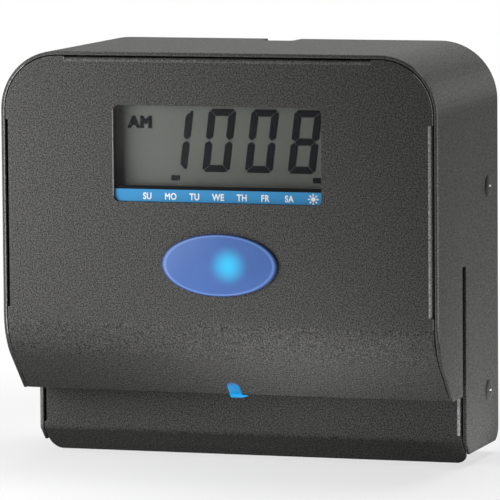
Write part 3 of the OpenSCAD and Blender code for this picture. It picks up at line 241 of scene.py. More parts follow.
def effect_group(name):
    """An empty effect: object coordinates times a scale, and a mask to put out."""
    tree = bpy.data.node_groups.new(name, "ShaderNodeTree")
    tree.interface.new_socket(name="Scale", in_out="INPUT", socket_type="NodeSocketFloat")
    tree.interface.new_socket(name="Mask", in_out="OUTPUT", socket_type="NodeSocketFloat")
    given = tree.nodes.new("NodeGroupInput")
    place = tree.nodes.new("ShaderNodeTexCoord")
    scaled = tree.nodes.new("ShaderNodeVectorMath")
    scaled.operation = "SCALE"
    tree.links.new(place.outputs["Object"], scaled.inputs[0])
    tree.links.new(given.outputs["Scale"], scaled.inputs["Scale"])
    return tree, scaled.outputs[0]


def put_out(tree, value, low, high):
    """Stretches a value between two levels to a mask, and ends the effect."""
    result = tree.nodes.new("NodeGroupOutput")
    tree.links.new(stretch(tree, value, low, high), result.inputs["Mask"])
    return tree


def noise(tree, vector, detail, squeeze=None):
    if squeeze:
        turn = tree.nodes.new("ShaderNodeMapping")
        turn.inputs["Scale"].default_value = squeeze
        tree.links.new(vector, turn.inputs["Vector"])
        vector = turn.outputs["Vector"]
    node = tree.nodes.new("ShaderNodeTexNoise")
    node.inputs["Scale"].default_value = 1.0
    node.inputs["Detail"].default_value = detail
    tree.links.new(vector, node.inputs["Vector"])
    return node.outputs[0]


def make_grain():
    tree, vector = effect_group("Grain")
    return put_out(tree, noise(tree, vector, 2.0), 0.36, 0.80)


def make_clouds():
    tree, vector = effect_group("Clouds")
    return put_out(tree, noise(tree, vector, 5.0), 0.25, 0.75)


def make_streaks():
    """Long marks along X, as of brushing."""
    tree, vector = effect_group("Streaks")
    return put_out(tree, noise(tree, vector, 3.0, (0.04, 1.0, 1.0)), 0.30, 0.70)


def make_spangle():
    """Crystals of a zinc coat, each of one tone."""
    tree, vector = effect_group("Spangle")
    cells = tree.nodes.new("ShaderNodeTexVoronoi")
    cells.inputs["Scale"].default_value = 1.0
    tree.links.new(vector, cells.inputs["Vector"])
    level = tree.nodes.new("ShaderNodeSeparateColor")
    tree.links.new(cells.outputs["Color"], level.inputs["Color"])
    return put_out(tree, level.outputs["Red"], 0.0, 1.0)


def make_bands():
    """Even stripes across X."""
    tree, vector = effect_group("Bands")
    wave = tree.nodes.new("ShaderNodeTexWave")
    wave.bands_direction = "X"
    wave.inputs["Scale"].default_value = 1.0
    tree.links.new(vector, wave.inputs["Vector"])
    return put_out(tree, wave.outputs["Fac"], 0.25, 0.75)


def make_traces():
    """Straight tracks of a circuit board that stands upright."""
    tree, vector = effect_group("Traces")
    laid = tree.nodes.new("ShaderNodeMapping")
    laid.inputs["Rotation"].default_value = (math.radians(90), 0.0, 0.0)
    tree.links.new(vector, laid.inputs["Vector"])
    tracks = tree.nodes.new("ShaderNodeTexBrick")
    tracks.offset = 0.37
    tracks.squash = 1.9
    tracks.squash_frequency = 3
    tracks.inputs["Scale"].default_value = 1.0
    tracks.inputs["Mortar Size"].default_value = 0.045
    tracks.inputs["Brick Width"].default_value = 1.3
    tree.links.new(laid.outputs["Vector"], tracks.inputs["Vector"])
    return put_out(tree, tracks.outputs["Fac"], 0.0, 1.0)


EFFECTS = {
    "Grain": make_grain, "Clouds": make_clouds, "Streaks": make_streaks,
    "Spangle": make_spangle, "Bands": make_bands, "Traces": make_traces,
}


def effect(tree, name, scale):
    """Places an effect in a material, and returns its mask."""
    node = tree.nodes.new("ShaderNodeGroup")
    node.node_tree = bpy.data.node_groups.get(name) or EFFECTS[name]()
    node.inputs["Scale"].default_value = scale
    return node.outputs["Mask"]


def new_material(name):
    material = bpy.data.materials.new(name)
    material.use_nodes = True
    return material, material.node_tree, material.node_tree.nodes["Principled BSDF"]


def blend_colour(tree, mask, low, high):
    """Mixes two colours by a mask. Each is a fixed colour or the output of another node."""
    mix = tree.nodes.new("ShaderNodeMix")
    mix.data_type = "RGBA"
    tree.links.new(mask, mix.inputs[0])
    for socket, value in ((mix.inputs[6], low), (mix.inputs[7], high)):
        if isinstance(value, bpy.types.NodeSocket):
            tree.links.new(value, socket)
        else:
            socket.default_value = (*value, 1.0)
    return mix.outputs[2]


def toned(colour_of, share):
    """A colour made darker or lighter by a share."""
    return tuple(share * level for level in colour_of)


def raise_surface(tree, shader, mask, depth):
    bump = tree.nodes.new("ShaderNodeBump")
    bump.inputs["Strength"].default_value = 1.0
    bump.inputs["Distance"].default_value = depth
    tree.links.new(mask, bump.inputs["Height"])
    tree.links.new(bump.outputs["Normal"], shader.inputs["Normal"])


def textured(name, low, high, pattern, scale, rough, depth, metallic=0.0, specular=0.5):
    """A finish whose colour and relief follow one effect, with a broad change of gloss over it."""
    material, tree, shader = new_material(name)
    mask = effect(tree, pattern, scale)
    tree.links.new(blend_colour(tree, mask, low, high), shader.inputs["Base Color"])
    tree.links.new(spread(tree, effect(tree, "Clouds", 60.0), *rough), shader.inputs["Roughness"])
    raise_surface(tree, shader, mask, depth)
    shader.inputs["Metallic"].default_value = metallic
    shader.inputs["Specular IOR Level"].default_value = specular
    return material


def metal(name, low, high, pattern="Streaks", scale=2500.0, rough=(0.28, 0.42), depth=0.000004):
    return textured(name, low, high, pattern, scale, rough, depth, metallic=1.0)


def moulded(name, low, high, rough=(0.42, 0.55), scale=3000.0, depth=0.00001, pattern="Grain"):
    return textured(name, low, high, pattern, scale, rough, depth)


def make_case_paint(name):
    """Speckled powder coat, with a painted highlight of pale grains, lower roughness and a glossy clear coat
    on the faces that its attribute marks, mostly the front's bends and edges, and a little wear on other
    edges.
    """
    paint = settings().paint
    material, tree, shader = new_material(name)
    grain = effect(tree, "Grain", 1.0 / paint.grain)
    attribute = tree.nodes.new("ShaderNodeAttribute")
    attribute.attribute_name = "rub"
    rub = attribute.outputs["Fac"]
    # The attribute's share blends in the painted highlight, smooths the coat and adds a clear coat
    coat = blend_colour(tree, grain, paint.dark, paint.light)
    highlighted = blend_colour(tree, grain, paint.light, paint.highlight_grains)
    tree.links.new(blend_colour(tree, rub, coat, highlighted), shader.inputs["Base Color"])
    tree.links.new(spread(tree, rub, 0.54, 0.40), shader.inputs["Roughness"])
    tree.links.new(rub, shader.inputs["Coat Weight"])
    shader.inputs["Coat Roughness"].default_value = 0.25
    shader.inputs["Coat IOR"].default_value = 1.9
    raise_surface(tree, shader, grain, paint.depth)
    shader.inputs["Specular IOR Level"].default_value = 0.05
    return material


def make_clear_lens(name):
    """Thin clear sheet with a faint smear."""
    material, tree, shader = new_material(name)
    smear = effect(tree, "Clouds", 40.0)
    tint = blend_colour(tree, smear, (0.03, 0.032, 0.032), (0.05, 0.052, 0.052))
    tree.links.new(tint, shader.inputs["Base Color"])
    tree.links.new(spread(tree, smear, 0.04, 0.10), shader.inputs["Roughness"])
    shader.inputs["Alpha"].default_value = 0.05
    shader.inputs["Specular IOR Level"].default_value = 0.2
    return material


def make_display_glass(name):
    ground = settings().display.glass
    return textured(
        name, toned(ground, 0.93), ground, "Clouds", 45.0, (0.34, 0.42), 0.0000005, specular=0.1)


def make_segment_ink(name):
    ink = settings().display.ink
    return textured(name, ink, toned(ink, 1.4), "Clouds", 300.0, (0.45, 0.55), 0.000001, specular=0.04)


def make_strip_print(name):
    strip = settings().display.strip
    return textured(
        name, toned(strip, 0.94), strip, "Grain", 4000.0, (0.45, 0.52), 0.000001, specular=0.1)


def centred_on(tree, place, centre, size):
    """Object coordinates about a centre, in units of a size."""
    node = tree.nodes.new("ShaderNodeMapping")
    node.vector_type = "TEXTURE"
    node.inputs["Location"].default_value = centre
    node.inputs["Scale"].default_value = size
    tree.links.new(place.outputs["Object"], node.inputs["Vector"])
    return node.outputs["Vector"]


def make_badge_dome(name):
    """Blue print with a round glow right of the middle under a clear dome; a painted pale ring near the edge
    stands for the highlight on the dome's rounded rim, and a painted dark skirt at the very edge stands for
    the shade on its side wall.
    """
    badge = settings().badge
    low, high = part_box("badge")
    centre = middle("badge")
    material, tree, shader = new_material(name)
    place = tree.nodes.new("ShaderNodeTexCoord")

    ball = tree.nodes.new("ShaderNodeTexGradient")
    ball.gradient_type = "SPHERICAL"
    shifted = (centre.x + badge.shift, centre.y, centre.z)
    tree.links.new(
        centred_on(tree, place, shifted, (badge.spread, 1.0, badge.spread)), ball.inputs["Vector"])
    soft = tree.nodes.new("ShaderNodeMapRange")
    soft.interpolation_type = "SMOOTHSTEP"
    tree.links.new(ball.outputs[0], soft.inputs["Value"])

    oval = centred_on(tree, place, centre, ((high.x - low.x) / 2, 1.0, (high.z - low.z) / 2))
    reach = vector_length(tree, oval)
    # Painted highlight: a pale ring on the rim's rounding
    ring = tree.nodes.new("ShaderNodeValToRGB")
    for stop_at, level in ((0.90, 0.0), (0.925, 1.0), (0.945, 1.0), (0.965, 0.0)):
        stop = ring.color_ramp.elements.new(stop_at)
        stop.color = (level, level, level, 1.0)
    for spare in (ring.color_ramp.elements[-1], ring.color_ramp.elements[0]):
        ring.color_ramp.elements.remove(spare)
    tree.links.new(reach, ring.inputs["Fac"])

    ground = blend_colour(tree, effect(tree, "Clouds", 70.0), badge.edge, toned(badge.edge, 1.15))
    glowing = blend_colour(tree, soft.outputs["Result"], ground, badge.glow)
    with_painted_rim_highlight = blend_colour(tree, ring.outputs["Color"], glowing, badge.rim)
    # Painted shade: a dark skirt at the outer edge, where the side wall is in shade
    painted_skirt_shade = stretch(tree, reach, 0.955, 0.985)
    with_painted_skirt_shade = blend_colour(tree, painted_skirt_shade, with_painted_rim_highlight, toned(badge.edge, 0.45))
    tree.links.new(with_painted_skirt_shade, shader.inputs["Base Color"])
    tree.links.new(spread(tree, effect(tree, "Clouds", 90.0), 0.16, 0.22), shader.inputs["Roughness"])
    shader.inputs["Specular IOR Level"].default_value = 0.14
    return material


def make_pointer_blue(name):
    """Clear blue plastic, darker towards its top and brighter at its lower edge, with a painted glow that
    stands for the lamp's light through it.
    """
    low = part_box("card_pointer")[0]
    material, tree, shader = new_material(name)
    place = tree.nodes.new("ShaderNodeTexCoord")
    parts = tree.nodes.new("ShaderNodeSeparateXYZ")
    tree.links.new(place.outputs["Object"], parts.inputs[0])
    body = stretch(tree, parts.outputs["Z"], low.z + 0.0056, low.z + 0.0032)
    foot = stretch(tree, parts.outputs["Z"], low.z + 0.0014, low.z - 0.0004)
    upper = blend_colour(tree, body, (0.050, 0.11, 0.27), (0.010, 0.25, 0.57))
    glow = blend_colour(tree, foot, upper, (0.005, 0.28, 0.62))
    tree.links.new(glow, shader.inputs["Base Color"])
    # Painted glow: the colour also emits, standing in for the lamp's light below
    tree.links.new(glow, shader.inputs["Emission Color"])
    tree.links.new(spread(tree, effect(tree, "Clouds", 400.0), 0.2, 0.3), shader.inputs["Roughness"])
    shader.inputs["Emission Strength"].default_value = 0.25
    shader.inputs["Specular IOR Level"].default_value = 0.2
    return material


MATERIALS = {
    "case_paint": make_case_paint,
    "clear_lens": make_clear_lens,
    "display_glass": make_display_glass,
    "badge_dome": make_badge_dome,
    "pointer_blue": make_pointer_blue,
    "strip_print": make_strip_print,
    "segment_ink": make_segment_ink,
    "print_white": partial(moulded, low=(0.78, 0.80, 0.82), high=(0.86, 0.87, 0.88), depth=0.000001),
    # Black of the painted shadow line over the day strip
    "print_black": partial(
        textured, low=(0.006, 0.006, 0.007), high=(0.012, 0.012, 0.013), pattern="Grain", scale=3000.0,
        rough=(0.5, 0.6), depth=0.000001, specular=0.04),
    "screw_paint": partial(
        textured, low=(0.030, 0.030, 0.030), high=(0.110, 0.109, 0.106), pattern="Grain", scale=1800.0,
        rough=(0.46, 0.54), depth=0.00002, specular=0.06),
    "zinc_sheet": partial(
        metal, low=(0.42, 0.43, 0.45), high=(0.60, 0.61, 0.62), pattern="Spangle", scale=260.0,
        rough=(0.34, 0.48)),
    "bright_steel": partial(metal, low=(0.52, 0.52, 0.53), high=(0.68, 0.68, 0.69)),
    "spring_steel": partial(metal, low=(0.28, 0.28, 0.30), high=(0.44, 0.44, 0.46)),
    "brass": partial(metal, low=(0.58, 0.42, 0.16), high=(0.76, 0.58, 0.27)),
    "bronze": partial(
        metal, low=(0.34, 0.21, 0.10), high=(0.50, 0.33, 0.17), pattern="Grain", scale=4200.0,
        rough=(0.45, 0.6)),
    "aluminium": partial(
        metal, low=(0.62, 0.63, 0.64), high=(0.78, 0.79, 0.80), scale=3200.0, rough=(0.36, 0.5)),
    "motor_steel": partial(
        metal, low=(0.24, 0.25, 0.27), high=(0.36, 0.37, 0.39), pattern="Clouds", scale=120.0),
    "black_plastic": partial(moulded, low=(0.016, 0.016, 0.017), high=(0.034, 0.034, 0.035)),
    "contact_rubber": partial(
        moulded, low=(0.05, 0.05, 0.05), high=(0.26, 0.25, 0.25), rough=(0.6, 0.75), scale=9000.0,
        pattern="Bands"),
    "roller_rubber": partial(
        moulded, low=(0.022, 0.022, 0.023), high=(0.045, 0.045, 0.046), rough=(0.6, 0.75), scale=2200.0,
        depth=0.00003),
    "board_green": partial(
        moulded, low=(0.012, 0.11, 0.04), high=(0.035, 0.20, 0.08), rough=(0.25, 0.35), scale=260.0,
        pattern="Traces"),
    "lamp_white": partial(moulded, low=(0.72, 0.75, 0.80), high=(0.84, 0.86, 0.90), rough=(0.25, 0.35)),
    "head_ceramic": partial(
        moulded, low=(0.22, 0.12, 0.06), high=(0.32, 0.19, 0.10), rough=(0.12, 0.2), scale=700.0,
        pattern="Clouds"),
    "gear_plastic": partial(moulded, low=(0.74, 0.72, 0.64), high=(0.84, 0.82, 0.75)),
    "button_red": partial(moulded, low=(0.48, 0.04, 0.03), high=(0.60, 0.06, 0.04), rough=(0.25, 0.35)),
    "ribbon_grey": partial(
        moulded, low=(0.38, 0.38, 0.39), high=(0.64, 0.64, 0.64), scale=2470.0, depth=0.0001,
        pattern="Bands"),
}


def material_of(finish):
    name = f"{finish}_finish"
    return bpy.data.materials.get(name) or MATERIALS[finish](name)


# Pieces

def middle(node):
    low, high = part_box(node)
    return (low + high) / 2


def make_piece(name, bm, finish, body="case", stands_for=(), second=None):
    """Turns a bmesh into a finished piece that rides on a body. A second finish goes on faces of index 1."""
    mesh = bpy.data.meshes.new(name)
    bm.to_mesh(mesh)
    bm.free()
    mesh.shade_smooth()
    mesh.set_sharp_from_angle(angle=SMOOTH_BELOW)
    mesh.materials.append(material_of(finish))
    if second:
        mesh.materials.append(material_of(second))
    obj = bpy.data.objects.new(name, mesh)
    bpy.context.scene.collection.objects.link(obj)
    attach(obj, body)
    if stands_for:
        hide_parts(*stands_for)
    return obj


def merged_copy(node):
    """A node's mesh with its triangles joined, and its flat faces made whole."""
    bm = bmesh.new()
    bm.from_mesh(frame["nodes"][node].data)
    bmesh.ops.remove_doubles(bm, verts=bm.verts, dist=0.000002)
    bmesh.ops.dissolve_limit(bm, angle_limit=FLAT_BELOW, verts=bm.verts, edges=bm.edges)
    return bm


def highlight_and_wear_of(normal, centre, bevelled, apron_left, panel_back):
    """How much painted highlight a face's coat gets, with plain edge wear on other rounded edges: most on the
    front's right-facing upright bends, none on the right wall's slit.
    """
    forward = normal.y < -0.2
    upright = abs(normal.z) < 0.3
    # Painted highlight on the left wall's front edge below the lip
    if normal.y < -0.3 and upright and centre.x < apron_left and centre.y > panel_back:
        return LEFT_WALL_HIGHLIGHT
    # Painted highlight on the front's bends and edges that face right
    if forward and upright and normal.x > 0.2:
        if not bevelled:
            return FRONT_BEND_HIGHLIGHT
        on_front = centre.x < 0.0 or (centre.y < panel_back and normal.z > -0.1)
        return FRONT_EDGE_HIGHLIGHT if on_front else 0.0
    # Painted highlight on the front panel's top roll, edge wear on its rounded edges
    if forward and normal.z > 0.2:
        return RUB_EDGE if bevelled else TOP_ROLL_HIGHLIGHT
    # Painted highlight on the wrap's top bends, strongest halfway round
    if not bevelled and abs(normal.y) < 0.2 and 0.0 < normal.z < TOP_BEND_END:
        return TOP_BEND_HIGHLIGHT * math.sin(math.pi * normal.z / TOP_BEND_END)
    return RUB_EDGE if bevelled else 0.0


def round_edges(bm, radius, shortest=0.0):
    """Rounds the square edges of a sheet, apart from the steps of bends that are too tight for the radius."""
    square = [
        e for e in bm.edges
        if e.is_manifold and e.calc_face_angle(0.0) > SQUARE_ABOVE and e.calc_length() > shortest]
    rub = bm.faces.layers.float.new("rub")
    bevelled = set(bmesh.ops.bevel(
        bm, geom=square, offset=radius, offset_type="OFFSET", affect="EDGES", segments=2,
        profile=0.5, material=-1, clamp_overlap=False)["faces"])
    apron_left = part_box("guide_plate")[0].x
    panel_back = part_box("front_panel")[1].y
    # Each face keeps its share of painted highlight, or of edge wear, as an attribute
    for face in bm.faces:
        face[rub] = highlight_and_wear_of(
            face.normal, face.calc_center_median(), face in bevelled, apron_left, panel_back)
    bmesh.ops.triangulate(bm, faces=[f for f in bm.faces if len(f.verts) > 4])


def soften(node, radius, shortest=0.0):
    """Makes a copy of a node with rounded edges, which stands for it."""
    bm = merged_copy(node)
    round_edges(bm, radius, shortest)
    slot = SLOT_OF[node]
    obj = make_piece(f"{node}_soft", bm, slot, body=BODY_OF[node], stands_for=(node,))
    weighted = obj.modifiers.new("Flat faces", "WEIGHTED_NORMAL")
    weighted.keep_sharp = True


def finish_nodes(*nodes):
    """Gives nodes that keep their own shape the finish of their slot."""
    for node in nodes:
        data = frame["nodes"][node].data
        data.materials.clear()
        data.materials.append(material_of(SLOT_OF[node]))


def thicken(bm, faces, thickness):
    """Extrudes flat faces backwards."""
    grown = bmesh.ops.extrude_face_region(bm, geom=faces)["geom"]
    verts = [v for v in grown if isinstance(v, bmesh.types.BMVert)]
    bmesh.ops.translate(bm, verts=verts, vec=(0.0, thickness, 0.0))


def add_plate(bm, outline, front, thickness):
    """Adds a flat plate: an outline in (x, z) whose face is at y = front."""
    face = bm.faces.new([bm.verts.new((x, front, z)) for x, z in outline])
    thicken(bm, [face], thickness)


def box_outline(x0, z0, x1, z1):
    return [(x0, z0), (x1, z0), (x1, z1), (x0, z1)]


def digit_outlines(width, height, stroke, gap):
    """Outlines of the seven segments of one upright digit, by letter."""
    cut, inner, outer = 0.2 * stroke, 0.45 * stroke, 0.35 * stroke
    half = height / 2
    bar = stroke / 2
    top = [
        (gap + 2 * cut, height), (width - gap - 2 * cut, height), (width - gap - cut, height - cut),
        (width - gap - stroke, height - stroke), (gap + stroke, height - stroke), (gap + cut, height - cut),
    ]
    left = [
        (0.0, height - gap - 2 * cut), (cut, height - gap - cut), (stroke, height - gap - stroke),
        (stroke, half + gap + inner), (bar, half + gap), (0.0, half + gap + outer),
    ]
    waist = [
        (bar + gap, half), (stroke + gap, half + bar), (width - stroke - gap, half + bar),
        (width - bar - gap, half), (width - stroke - gap, half - bar), (stroke + gap, half - bar),
    ]

    def over(points):
        return [(width - u, v) for u, v in points]

    def under(points):
        return [(u, height - v) for u, v in points]

    return {
        "a": top, "d": under(top), "f": left, "b": over(left), "e": under(left),
        "c": over(under(left)), "g": waist,
    }


def word_plate(word, height, centre, front, thickness, weight, squeeze):
    """A plate of capitals about a centre in (x, z), standing on a face at y = front, bolder by a weight."""
    curve = bpy.data.curves.new("word", "FONT")
    curve.body = word
    curve.bevel_depth = weight
    curve.space_character = 1.0 + 2 * weight
    curve.bevel_resolution = 0
    obj = bpy.data.objects.new("word", curve)
    bpy.context.scene.collection.objects.link(obj)
    mesh = bpy.data.meshes.new_from_object(obj.evaluated_get(bpy.context.evaluated_depsgraph_get()))
    bpy.data.objects.remove(obj)
    bpy.data.curves.remove(curve)
    bm = bmesh.new()
    bm.from_mesh(mesh)
    bpy.data.meshes.remove(mesh)
    bmesh.ops.remove_doubles(bm, verts=bm.verts, dist=0.0001)
    xs = [v.co.x for v in bm.verts]
    ys = [v.co.y for v in bm.verts]
    scale = height / (max(ys) - min(ys))
    centred = Matrix.Translation((-(min(xs) + max(xs)) / 2, -(min(ys) + max(ys)) / 2, weight))
    sized = Matrix.Diagonal((scale * squeeze, scale, thickness / (2 * weight), 1.0))
    stood = Matrix.Rotation(math.radians(90), 4, "X")
    placed = Matrix.Translation((centre[0], front, centre[1]))
    bmesh.ops.transform(bm, matrix=placed @ stood @ sized @ centred, verts=bm.verts)
    return bm


def take_in(bm, other):
    """Moves the geometry of one bmesh into another."""
    mesh = bpy.data.meshes.new("part")
    other.to_mesh(mesh)
    other.free()
    bm.from_mesh(mesh)
    bpy.data.meshes.remove(mesh)


def sun_sign(centre, front, thickness, radius):
    """A disc with eight rays, about a centre in (x, z)."""
    point = (centre[0], front, centre[1])
    bm = bmesh.new()
    ray = [bm.verts.new((x * radius, 0.0, z * radius)) for x, z in (
        (-0.12, 0.56), (0.12, 0.56), (0.13, 1.0), (-0.13, 1.0))]
    face = bm.faces.new(ray)
    bmesh.ops.translate(bm, verts=ray, vec=point)
    bmesh.ops.spin(
        bm, geom=[*ray, *face.edges, face], cent=point, axis=(0, 1, 0),
        angle=math.radians(315), steps=7, use_duplicate=True)
    bmesh.ops.create_circle(
        bm, cap_ends=True, segments=20, radius=0.42 * radius,
        matrix=Matrix.Translation(point) @ Matrix.Rotation(math.radians(90), 4, "X"))
    thicken(bm, list(bm.faces), thickness)
    bmesh.ops.recalc_face_normals(bm, faces=bm.faces)
    return bm


def spun(profile, centre, axis, steps):
    """A closed round shape: a profile of (along, radius) points turned about an axis through a centre."""
    along = Vector(axis)
    out = along.orthogonal().normalized()
    bm = bmesh.new()
    verts = [bm.verts.new(Vector(centre) + along * a + out * r) for a, r in profile]
    edges = [bm.edges.new(pair) for pair in zip(verts, verts[1:])]
    bmesh.ops.spin(
        bm, geom=verts + edges, cent=centre, axis=axis, angle=math.radians(360), steps=steps,
        use_merge=True)
    bmesh.ops.remove_doubles(bm, verts=bm.verts, dist=0.0000005)
    bmesh.ops.recalc_face_normals(bm, faces=bm.faces)
    return bm


# Operators

class TIMECLOCK_OT_case(Operator):
    """Paints the case, the front panel and the guide plate, and finishes the back plate"""
    bl_idname = "timeclock.case"
    bl_label = "Case"

    def execute(self, context):
        radius = settings().paint.edge
        soften("case_wrap", radius)
        for node in ("front_panel", "guide_plate"):
            soften(node, radius, shortest=0.9 * radius)
        soften("back_plate", radius / 2)
        finish_nodes("clinch_nuts", "chassis_screws")
        return {"FINISHED"}


class TIMECLOCK_OT_case_screws(Operator):
    """Turns the domed case screws with their cross recesses"""
    bl_idname = "timeclock.case_screws"
    bl_label = "Case Screws"

    def execute(self, context):
        low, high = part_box("case_screws")
        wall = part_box("case_wrap")[1].x
        radius = (high.y - low.y) / 2
        # The heads are flatter than the solids that they stand for
        rise = 0.55 * (high.x - wall)
        shank, shank_radius, chamfer = 0.009, 0.002, 0.0003
        profile = [
            (-shank, 0.0), (-shank, shank_radius - chamfer), (chamfer - shank, shank_radius),
            (0.0, shank_radius), (0.0, radius)]
        profile += [(up * rise, out * radius) for up, out in SCREW_DOME]
        whole = bmesh.new()
        for side in (-1, 1):
            for z in (low.z + radius, high.z - radius):
                centre = Vector((side * wall, (low.y + high.y) / 2, z))
                bm = spun(profile, centre, (side, 0, 0), steps=40)
                self.cut_cross(bm, centre + Vector((side * rise, 0, 0)), radius, rise)
                take_in(whole, bm)
        make_piece(
            "case_screws_domed", whole, "screw_paint", stands_for=("case_screws",),
            second="bright_steel")
        return {"FINISHED"}

    @staticmethod
    def cut_cross(bm, top, radius, rise):
        """Cuts a tapered cross into a head with a boolean. The ends of its level arm are bare steel."""
        head = bpy.data.objects.new("head", bpy.data.meshes.new("head"))
        tool = bpy.data.objects.new("tool", bpy.data.meshes.new("tool"))
        bm.to_mesh(head.data)
        cutter = bmesh.new()
        reach, half, depth, taper = 0.55 * radius, 0.16 * radius, 3.0 * rise, 0.3
        for y, z in ((reach, half), (half, reach)):
            size = Matrix.Diagonal((depth, 2 * y, 2 * z, 1.0))
            arm = bmesh.ops.create_cube(cutter, size=1.0, matrix=Matrix.Translation(top) @ size)["verts"]
            inner = [v for v in arm if abs(v.co.x) < abs(top.x)]
            bmesh.ops.scale(
                cutter, verts=inner, vec=(1.0, taper, taper), space=Matrix.Translation(-top))
        for face in cutter.faces:
            if abs(face.normal.y) > 0.5 and face.calc_area() < radius * rise:
                face.material_index = 1
        cutter.to_mesh(tool.data)
        cutter.free()
        for obj in (head, tool):
            bpy.context.scene.collection.objects.link(obj)
        cut = head.modifiers.new("Cross", "BOOLEAN")
        cut.object = tool
        cut.operation = "DIFFERENCE"
        cut.use_self = True
        done = bpy.data.meshes.new_from_object(
            head.evaluated_get(bpy.context.evaluated_depsgraph_get()))
        bm.clear()
        bm.from_mesh(done)
        for obj in (head, tool):
            mesh = obj.data
            bpy.data.objects.remove(obj)
            bpy.data.meshes.remove(mesh)
        bpy.data.meshes.remove(done)


class TIMECLOCK_OT_display(Operator):
    """Draws the reading on the display glass and finishes the lens and the holder"""
    bl_idname = "timeclock.display"
    bl_label = "Display"

    def execute(self, context):
        finish_nodes(
            "window_lens", "lcd_glass", "lcd_holder", "contact_strips", "display_board", "display_studs",
            "display_nuts")
        display = settings().display
        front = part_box("lcd_glass")[0].y
        centre = middle("lcd_glass")
        ink = 0.00035
        foot = centre.z - 0.0075
        first = centre.x - 0.02665
        lean = math.tan(display.slant)
        outlines = digit_outlines(display.digit_width, display.digit_height, display.stroke, display.gap)
        bm = bmesh.new()
        for place, digit in enumerate(display.reading.rjust(4)):
            left = first + place * display.digit_pitch
            for letter in SEGMENTS_OF[digit]:
                points = [(left + u + v * lean, foot + v) for u, v in outlines[letter]]
                add_plate(bm, points, front - ink, ink)
        bars_at = (-0.01995, 0.03985)
        half_bar, bar_low, bar_high = 0.00175, foot - 0.0037, foot - 0.0016
        for x in bars_at:
            add_plate(bm, box_outline(x - half_bar, bar_low, x + half_bar, bar_high), front - ink, ink)
        bmesh.ops.recalc_face_normals(bm, faces=bm.faces)
        mark_at = (centre.x - 0.0350, centre.z + 0.0123)
        take_in(bm, word_plate(
            display.half_day, height=0.0051, centre=mark_at, front=front, thickness=ink, weight=0.075,
            squeeze=1.06))
        make_piece("display_reading", bm, "segment_ink")
        return {"FINISHED"}


class TIMECLOCK_OT_day_strip(Operator):
    """Prints the day marks on their strip"""
    bl_idname = "timeclock.day_strip"
    bl_label = "Day Strip"

    def execute(self, context):
        finish_nodes("day_strip")
        low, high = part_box("day_strip")
        drop = 0.0005
        self.print_marks(low.y, (low.z + high.z) / 2 - drop)
        # A painted shadow line over the strip's upper edge
        self.paint_shadow_line(low, high)
        return {"FINISHED"}

    @staticmethod
    def print_marks(front, row):
        """White day marks in a row, with a sun at the right end."""
        print_t, pitch, sun_at = 0.00003, 0.010, 0.040
        bm = sun_sign((sun_at, row), front - print_t, print_t, radius=0.0022)
        for place, day in enumerate(DAYS):
            take_in(bm, word_plate(
                day, height=0.0028, centre=(pitch * (place - 3), row), front=front, thickness=print_t,
                weight=0.028, squeeze=0.84))
        make_piece("day_marks", bm, "print_white")

    @staticmethod
    def paint_shadow_line(low, high):
        """Painted shadow: a black line over the strip's upper edge, where the gap above the strip is in
        shade.
        """
        over, down, up = 0.00002, 0.0005, 0.0010
        bm = bmesh.new()
        outline = box_outline(low.x, high.z - down, high.x, high.z + up)
        add_plate(bm, outline, low.y - over, high.y - low.y + over)
        bmesh.ops.recalc_face_normals(bm, faces=bm.faces)
        make_piece("day_strip_line", bm, "print_black")


class TIMECLOCK_OT_badge(Operator):
    """Turns the oval dome of the badge"""
    bl_idname = "timeclock.badge"
    bl_label = "Badge"

    def execute(self, context):
        low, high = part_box("badge")
        rise = high.y - low.y
        # Heights as shares of the rise, and reaches as shares of the oval
        wall, shoulder, crown = 0.42, 0.38, 0.2
        face_reach, shoulder_reach, steps = 0.93, 0.07, 6
        profile = [(0.0, 0.0), (0.0, 1.0), (wall * rise, 1.0)]
        for step in range(1, steps):
            turn = math.radians(90 * step / steps)
            profile.append((
                (wall + shoulder * math.sin(turn)) * rise, face_reach + shoulder_reach * math.cos(turn)))
        profile += [
            ((1.0 - crown * reach ** 2) * rise, face_reach * reach)
            for reach in (1.0, 0.8, 0.6, 0.4, 0.2, 0.0)]
        bm = spun(profile, (0.0, high.y, 0.0), (0, -1, 0), steps=96)
        bmesh.ops.scale(bm, verts=bm.verts, vec=((high.x - low.x) / 2, 1.0, (high.z - low.z) / 2))
        bmesh.ops.translate(bm, verts=bm.verts, vec=((low.x + high.x) / 2, 0.0, (low.z + high.z) / 2))
        make_piece("badge_domed", bm, "badge_dome", stands_for=("badge",))
        return {"FINISHED"}


class TIMECLOCK_OT_pointer(Operator):
    """Finishes the card pointer in the lip, with its foot, and its lamp"""
    bl_idname = "timeclock.pointer"
    bl_label = "Card Pointer"

    def execute(self, context):
        bm = merged_copy("card_pointer")
        low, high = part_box("card_pointer")
        half, foot_t = 0.0026, 0.0011
        tip = half + 0.0025
        top, bottom = low.z + 0.0010, low.z - 0.0014
        outline = [
            (-0.0005 - half, top), (0.0005 - half, bottom), (half - 0.0002, bottom), (tip, low.z - 0.0007),
            (tip, low.z - 0.0003), (half + 0.0002, low.z - 0.0002), (half - 0.0001, top),
        ]
        add_plate(bm, outline, high.y - foot_t, foot_t)
        bmesh.ops.recalc_face_normals(bm, faces=bm.faces)
        round_edges(bm, radius=0.0002)
        make_piece(
            "card_pointer_clear", bm, "pointer_blue", stands_for=("card_pointer",))
        finish_nodes("pointer_lamp")
        return {"FINISHED"}


class TIMECLOCK_OT_chute(Operator):
    """Finishes the card chute with its spacers and screws"""
    bl_idname = "timeclock.chute"
    bl_label = "Card Chute"

    def execute(self, context):
        soften("chute_plate", radius=0.0002)
        finish_nodes("chute_spacers", "chute_screws")
        return {"FINISHED"}


